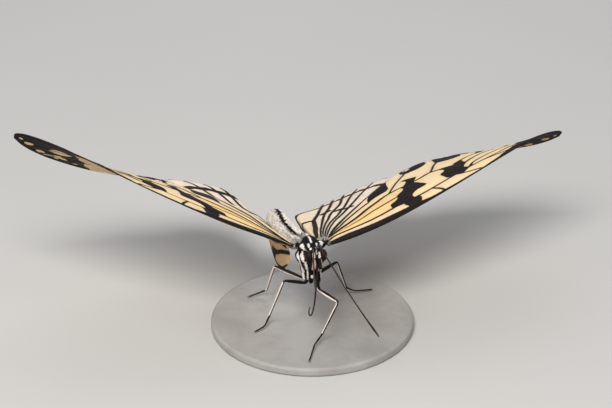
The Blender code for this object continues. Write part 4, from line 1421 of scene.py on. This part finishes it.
PALP = ((0.62, -6.15, -0.9), (0.78, -6.8, -1.0), (0.9, -7.45, -0.7), (0.88, -7.8, 0.2), (0.8, -7.75, 1.15))
FORELEG = ((0.75, -2.6, -5.2), (0.8, -3.4, -6.2), (0.78, -4.2, -5.7), (0.75, -4.7, -4.7), (0.7, -4.6, -3.5))


def jointed(joints, radii_of_segments):
    """A limb's path and radii: straight segments that turn shortly at each joint."""
    per_mm, corner = 7.0, 0.55
    path, radii = [], []
    joints = [np.array(joint, float) for joint in joints]
    for k, (start, end) in enumerate(zip(joints, joints[1:])):
        length = np.linalg.norm(end - start)
        count = max(5, int(length * per_mm))
        share = np.linspace(0, 1, count)
        low = 0 if k == 0 else corner / 2 / length
        high = 1 if k == len(joints) - 2 else 1 - corner / 2 / length
        path.append(start + (end - start) * (low + (high - low) * share)[:, None])
        radii.append(spread(radii_of_segments[min(k, len(radii_of_segments) - 1)], count))
    return np.vstack(path), np.concatenate(radii)


def smoothed(values, times=2):
    """The values along a path, each drawn towards its neighbours so many times."""
    for _ in range(times):
        inner = (values[:-2] + 2 * values[1:-1] + values[2:]) / 4
        values = np.concatenate([values[:1], inner, values[-1:]])
    return values


# How deep each place of a limb lies in the white, in millimetres, from its place and its way out.

def pale_below(places, out):
    """White on the side that faces down, forward and to the right."""
    return (out @ np.array([-0.75, 0.25, -0.6]) - 0.2) * 1.2


def pink_inside(places, out):
    """The left palp's pink, only where it faces the right one."""
    return out[:, 0] * 0.5 - 0.3


def pink_but_outside(places, out):
    """The right palp's pink, everywhere but where it faces out."""
    return 0.3 - np.maximum(0, -out[:, 0] - 0.3)


def white_knee(knee, reach):
    """White so far round a knee, or none if the reach is less than nothing."""
    return lambda places, out: reach - np.linalg.norm(places - knee, axis=1) / MM


def even(depth):
    """The same depth all over."""
    return lambda places, out: np.full(len(places), depth)


def make_legs():
    """Four walking legs, each with scales, spines and claws."""
    for name, joints in LEGS.items():
        path, radii = jointed(joints, SEGMENT_RADII)
        path = smoothed(path, 3)
        path[:, 2] = np.maximum(path[:, 2], 0.02)
        leg = tube_mesh(name + "_scaled", foot_places(path), smoothed(radii) * MM, LIMB_SCALES, sides=14,
                        white=pale_below)
        add_skin_values(leg, 0.3)
        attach(leg, "root")
        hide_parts(name)
        grow_fur(leg, name + "_spines", SPINE_TUFT, 9, 0.9, 0.07, 38, 21, LIMB_SCALES)
        before, tip = foot_places(path[[-8, -1]])
        make_claws(name, tip, unit(tip - before))


def make_claws(name, tip, ahead):
    """Two hooked claws at a foot's end, down to the base."""
    sides = 8
    ahead = unit(ahead * [1, 1, 0])
    side = np.array([-ahead[1], ahead[0], 0])
    places, faces = [], []
    for turn in (-1, 1):
        line = smooth_line([tip + side * turn * 0.06 * MM,
                            tip + (ahead * 0.3 + side * turn * 0.16) * MM + [0, 0, 0.03 * MM],
                            tip + (ahead * 0.52 + side * turn * 0.24) * MM - [0, 0, 0.3 * MM]], 5)
        tangent, across, up = tube_frames(line)
        radii = np.linspace(0.085, 0.012, len(line)) * MM
        ring = line[:, None] + spokes(across, up, sides) * radii[:, None, None]
        faces += closed_tube_faces(len(line), sides, len(places))
        places += list(ring.reshape(-1, 3)) + [line[0], line[-1] + tangent[-1] * 0.02 * MM]
    made = add_mesh(name + "_claws", places, faces, HORN, {"white": np.full(len(places), -1.0)})
    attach(made, "root")


def add_skin_values(obj, fur_length):
    """What the fur needs to grow on a limb."""
    mesh = obj.data
    count = len(mesh.vertices)
    for label, value in (("fur_length", fur_length), ("fur_density", 1.0)):
        mesh.attributes.new(label, "FLOAT", "POINT").data.foreach_set("value", np.full(count, value))
    flat = np.empty(len(mesh.loops) * 2)
    mesh.uv_layers["OFBake"].data.foreach_get("uv", flat)
    place = np.zeros((count, 3))
    place[corner_vertices(obj), :2] = flat.reshape(-1, 2)
    mesh.attributes.new("skin_place", "FLOAT_VECTOR", "POINT").data.foreach_set("vector", np.ravel(place))


def make_antennae():
    """Two ringed antennae, each with a slim club."""
    for word, points in ANTENNAE.items():
        line = smooth_line(points, 44)
        share = np.linspace(0, 1, len(line))
        club = np.interp(share, (0, 0.02, 0.06, 0.12, 0.72, 0.93, 1),
                         (0.25, 0.27, 0.17, 0.15, 0.15, 0.24, 0.13))
        rings = 1 - 0.13 * np.exp(-(((share * 36) % 1 - 0.5) / 0.16) ** 2)
        made = tube_mesh("antenna_ringed_" + word, root_places(line), club * rings * MM, HORN, sides=12,
                         white=even(-1.0))
        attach(made, "root")
        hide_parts("antenna_" + word)


def make_proboscis():
    """The ringed tongue, grooved in front and behind where its two halves meet."""
    line = smooth_line(PROBOSCIS, 26)
    share = np.linspace(0, 1, len(line))
    radii = np.interp(share, (0, 0.1, 0.4, 0.8, 1), (0.26, 0.23, 0.19, 0.16, 0.1))
    radii = radii * (1 - 0.06 * np.exp(-(((share * 70) % 1 - 0.5) / 0.2) ** 2))
    made = tube_mesh("proboscis_ringed", root_places(line), radii * MM, HORN, sides=18, groove=0.18,
                     white=even(-0.2))
    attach(made, "root")
    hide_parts("proboscis")


def make_furred_limb(name, node_name, points, radii, white, seed, skin, fur):
    """A small limb under a coat of scale tufts."""
    line = smooth_line(points, 22)
    limb = tube_mesh(name, root_places(line), spread(radii, len(line)) * MM, skin, sides=20, white=white)
    add_skin_values(limb, 0.5)
    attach(limb, "root")
    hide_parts(node_name)
    grow_fur(limb, name + "_fur", SCALE_TUFT, 70, 0.7, 0.12, 14, seed, fur)


# For each side: its way along X, how far its palp is moved along X, the palp's radii and pink, how
# far white reaches round the foreleg's knee, and the seeds of both coats.
SMALL_LIMBS = {
    "left": (1, -0.3, (0.2, 0.3, 0.38, 0.36, 0.22), pink_inside, -0.4, 31, 41),
    "right": (-1, -0.1, (0.24, 0.42, 0.54, 0.52, 0.3), pink_but_outside, 0.36, 32, 42),
}


def make_small_limbs():
    """The palps and the folded forelegs."""
    for word, (side, shift, wide, pink, knee_white, palp_seed, leg_seed) in SMALL_LIMBS.items():
        palp = [(side * x + shift, y, z) for x, y, z in PALP]
        make_furred_limb("palp_furred_" + word, "palp_" + word, palp, wide, pink, palp_seed,
                         PALP_SCALES, PALP_SCALES)
        foreleg = [(side * x, y, z) for x, y, z in FORELEG]
        knee = root_places([(side * 0.73, -4.95, -4.4)])
        make_furred_limb("foreleg_furred_" + word, "foreleg_" + word, foreleg,
                         (0.36, 0.38, 0.34, 0.26, 0.16), white_knee(knee, knee_white), leg_seed,
                         BODY_SKIN, BODY_FUR)


make_legs()
make_antennae()
make_proboscis()
make_small_limbs()


# --- Light, floor and camera -------------------------------------------------------------------------

def make_floor():
    size = 4.0
    floor = add_mesh("floor", [(-size, -size, 0), (size, -size, 0), (size, size, 0), (-size, size, 0)],
                     [(0, 1, 2, 3)], floor_material(), smooth=False)


def floor_material():
    made, tree, sockets = new_material("floor_pale", 0.9)
    place = object_place(tree, (1.0, 1.0, 1.0))
    cloud = noise(tree, place, 9.0, 3.0)
    colour = blend_colour(tree, cloud, (0.42, 0.415, 0.405), (0.46, 0.455, 0.445))
    tree.links.new(colour, sockets["Base Color"])
    return made


def area_light(name, place, size, watts, colour):
    """A round lamp that shines at the wing roots."""
    data = bpy.data.lights.new(name, "AREA")
    data.shape = "DISK"
    data.size = size
    data.energy = watts
    data.color = colour
    light = bpy.data.objects.new(name, data)
    light.location = place
    light.rotation_euler = (Vector(ROOT) - Vector(place)).to_track_quat("-Z", "Y").to_euler()
    bpy.context.scene.collection.objects.link(light)


def make_camera():
    """A long lens that shows the wing roots at their place in the view."""
    turn, down = CAMERA_TURN, CAMERA_DOWN
    ahead = np.array([sin(turn) * cos(down), cos(turn) * cos(down), -sin(down)])
    right = np.array([cos(turn), -sin(turn), 0])
    up = np.cross(right, ahead)
    place = ROOT - CAMERA_AWAY * ahead
    wide, high = VIEW_SIZE
    data = bpy.data.cameras.new("camera")
    data.sensor_width = SENSOR_WIDTH
    data.lens = SENSOR_WIDTH * CAMERA_AWAY / MM * PIXELS_PER_MM / wide
    data.shift_x = (wide / 2 - ROOT_IN_VIEW[0]) / wide
    data.shift_y = (ROOT_IN_VIEW[1] - high / 2) / wide
    data.clip_start = 0.01
    data.clip_end = 50
    camera = bpy.data.objects.new("camera", data)
    camera.matrix_world = Matrix((*zip(right, up, -ahead, place), (0, 0, 0, 1)))
    bpy.context.scene.collection.objects.link(camera)
    bpy.context.scene.camera = camera


def make_light():
    world = bpy.data.worlds.new("soft_studio")
    world.use_nodes = True
    background = world.node_tree.nodes["Background"]
    background.inputs["Color"].default_value = (0.93, 0.95, 1.0, 1)
    background.inputs["Strength"].default_value = 0.36
    bpy.context.scene.world = world
    bpy.context.scene.view_settings.view_transform = "Standard"
    area_light("key", ROOT + [-0.12, -0.26, 0.42], 0.3, 3.3, (1.0, 0.97, 0.92))
    area_light("fill", ROOT + [0.4, -0.35, 0.16], 0.4, 0.4, (1.0, 0.98, 0.95))
    area_light("low", ROOT + [-0.3, -0.4, 0.02], 0.25, 0.9, (1.0, 0.95, 0.9))
    area_light("rear", ROOT + [0.1, 0.45, 0.3], 0.4, 1.0, (0.95, 0.97, 1.0))


base_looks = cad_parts["stand_base"].data.materials
base_looks.clear()
base_looks.append(BASE_SATIN)
make_floor()
make_camera()
make_light()
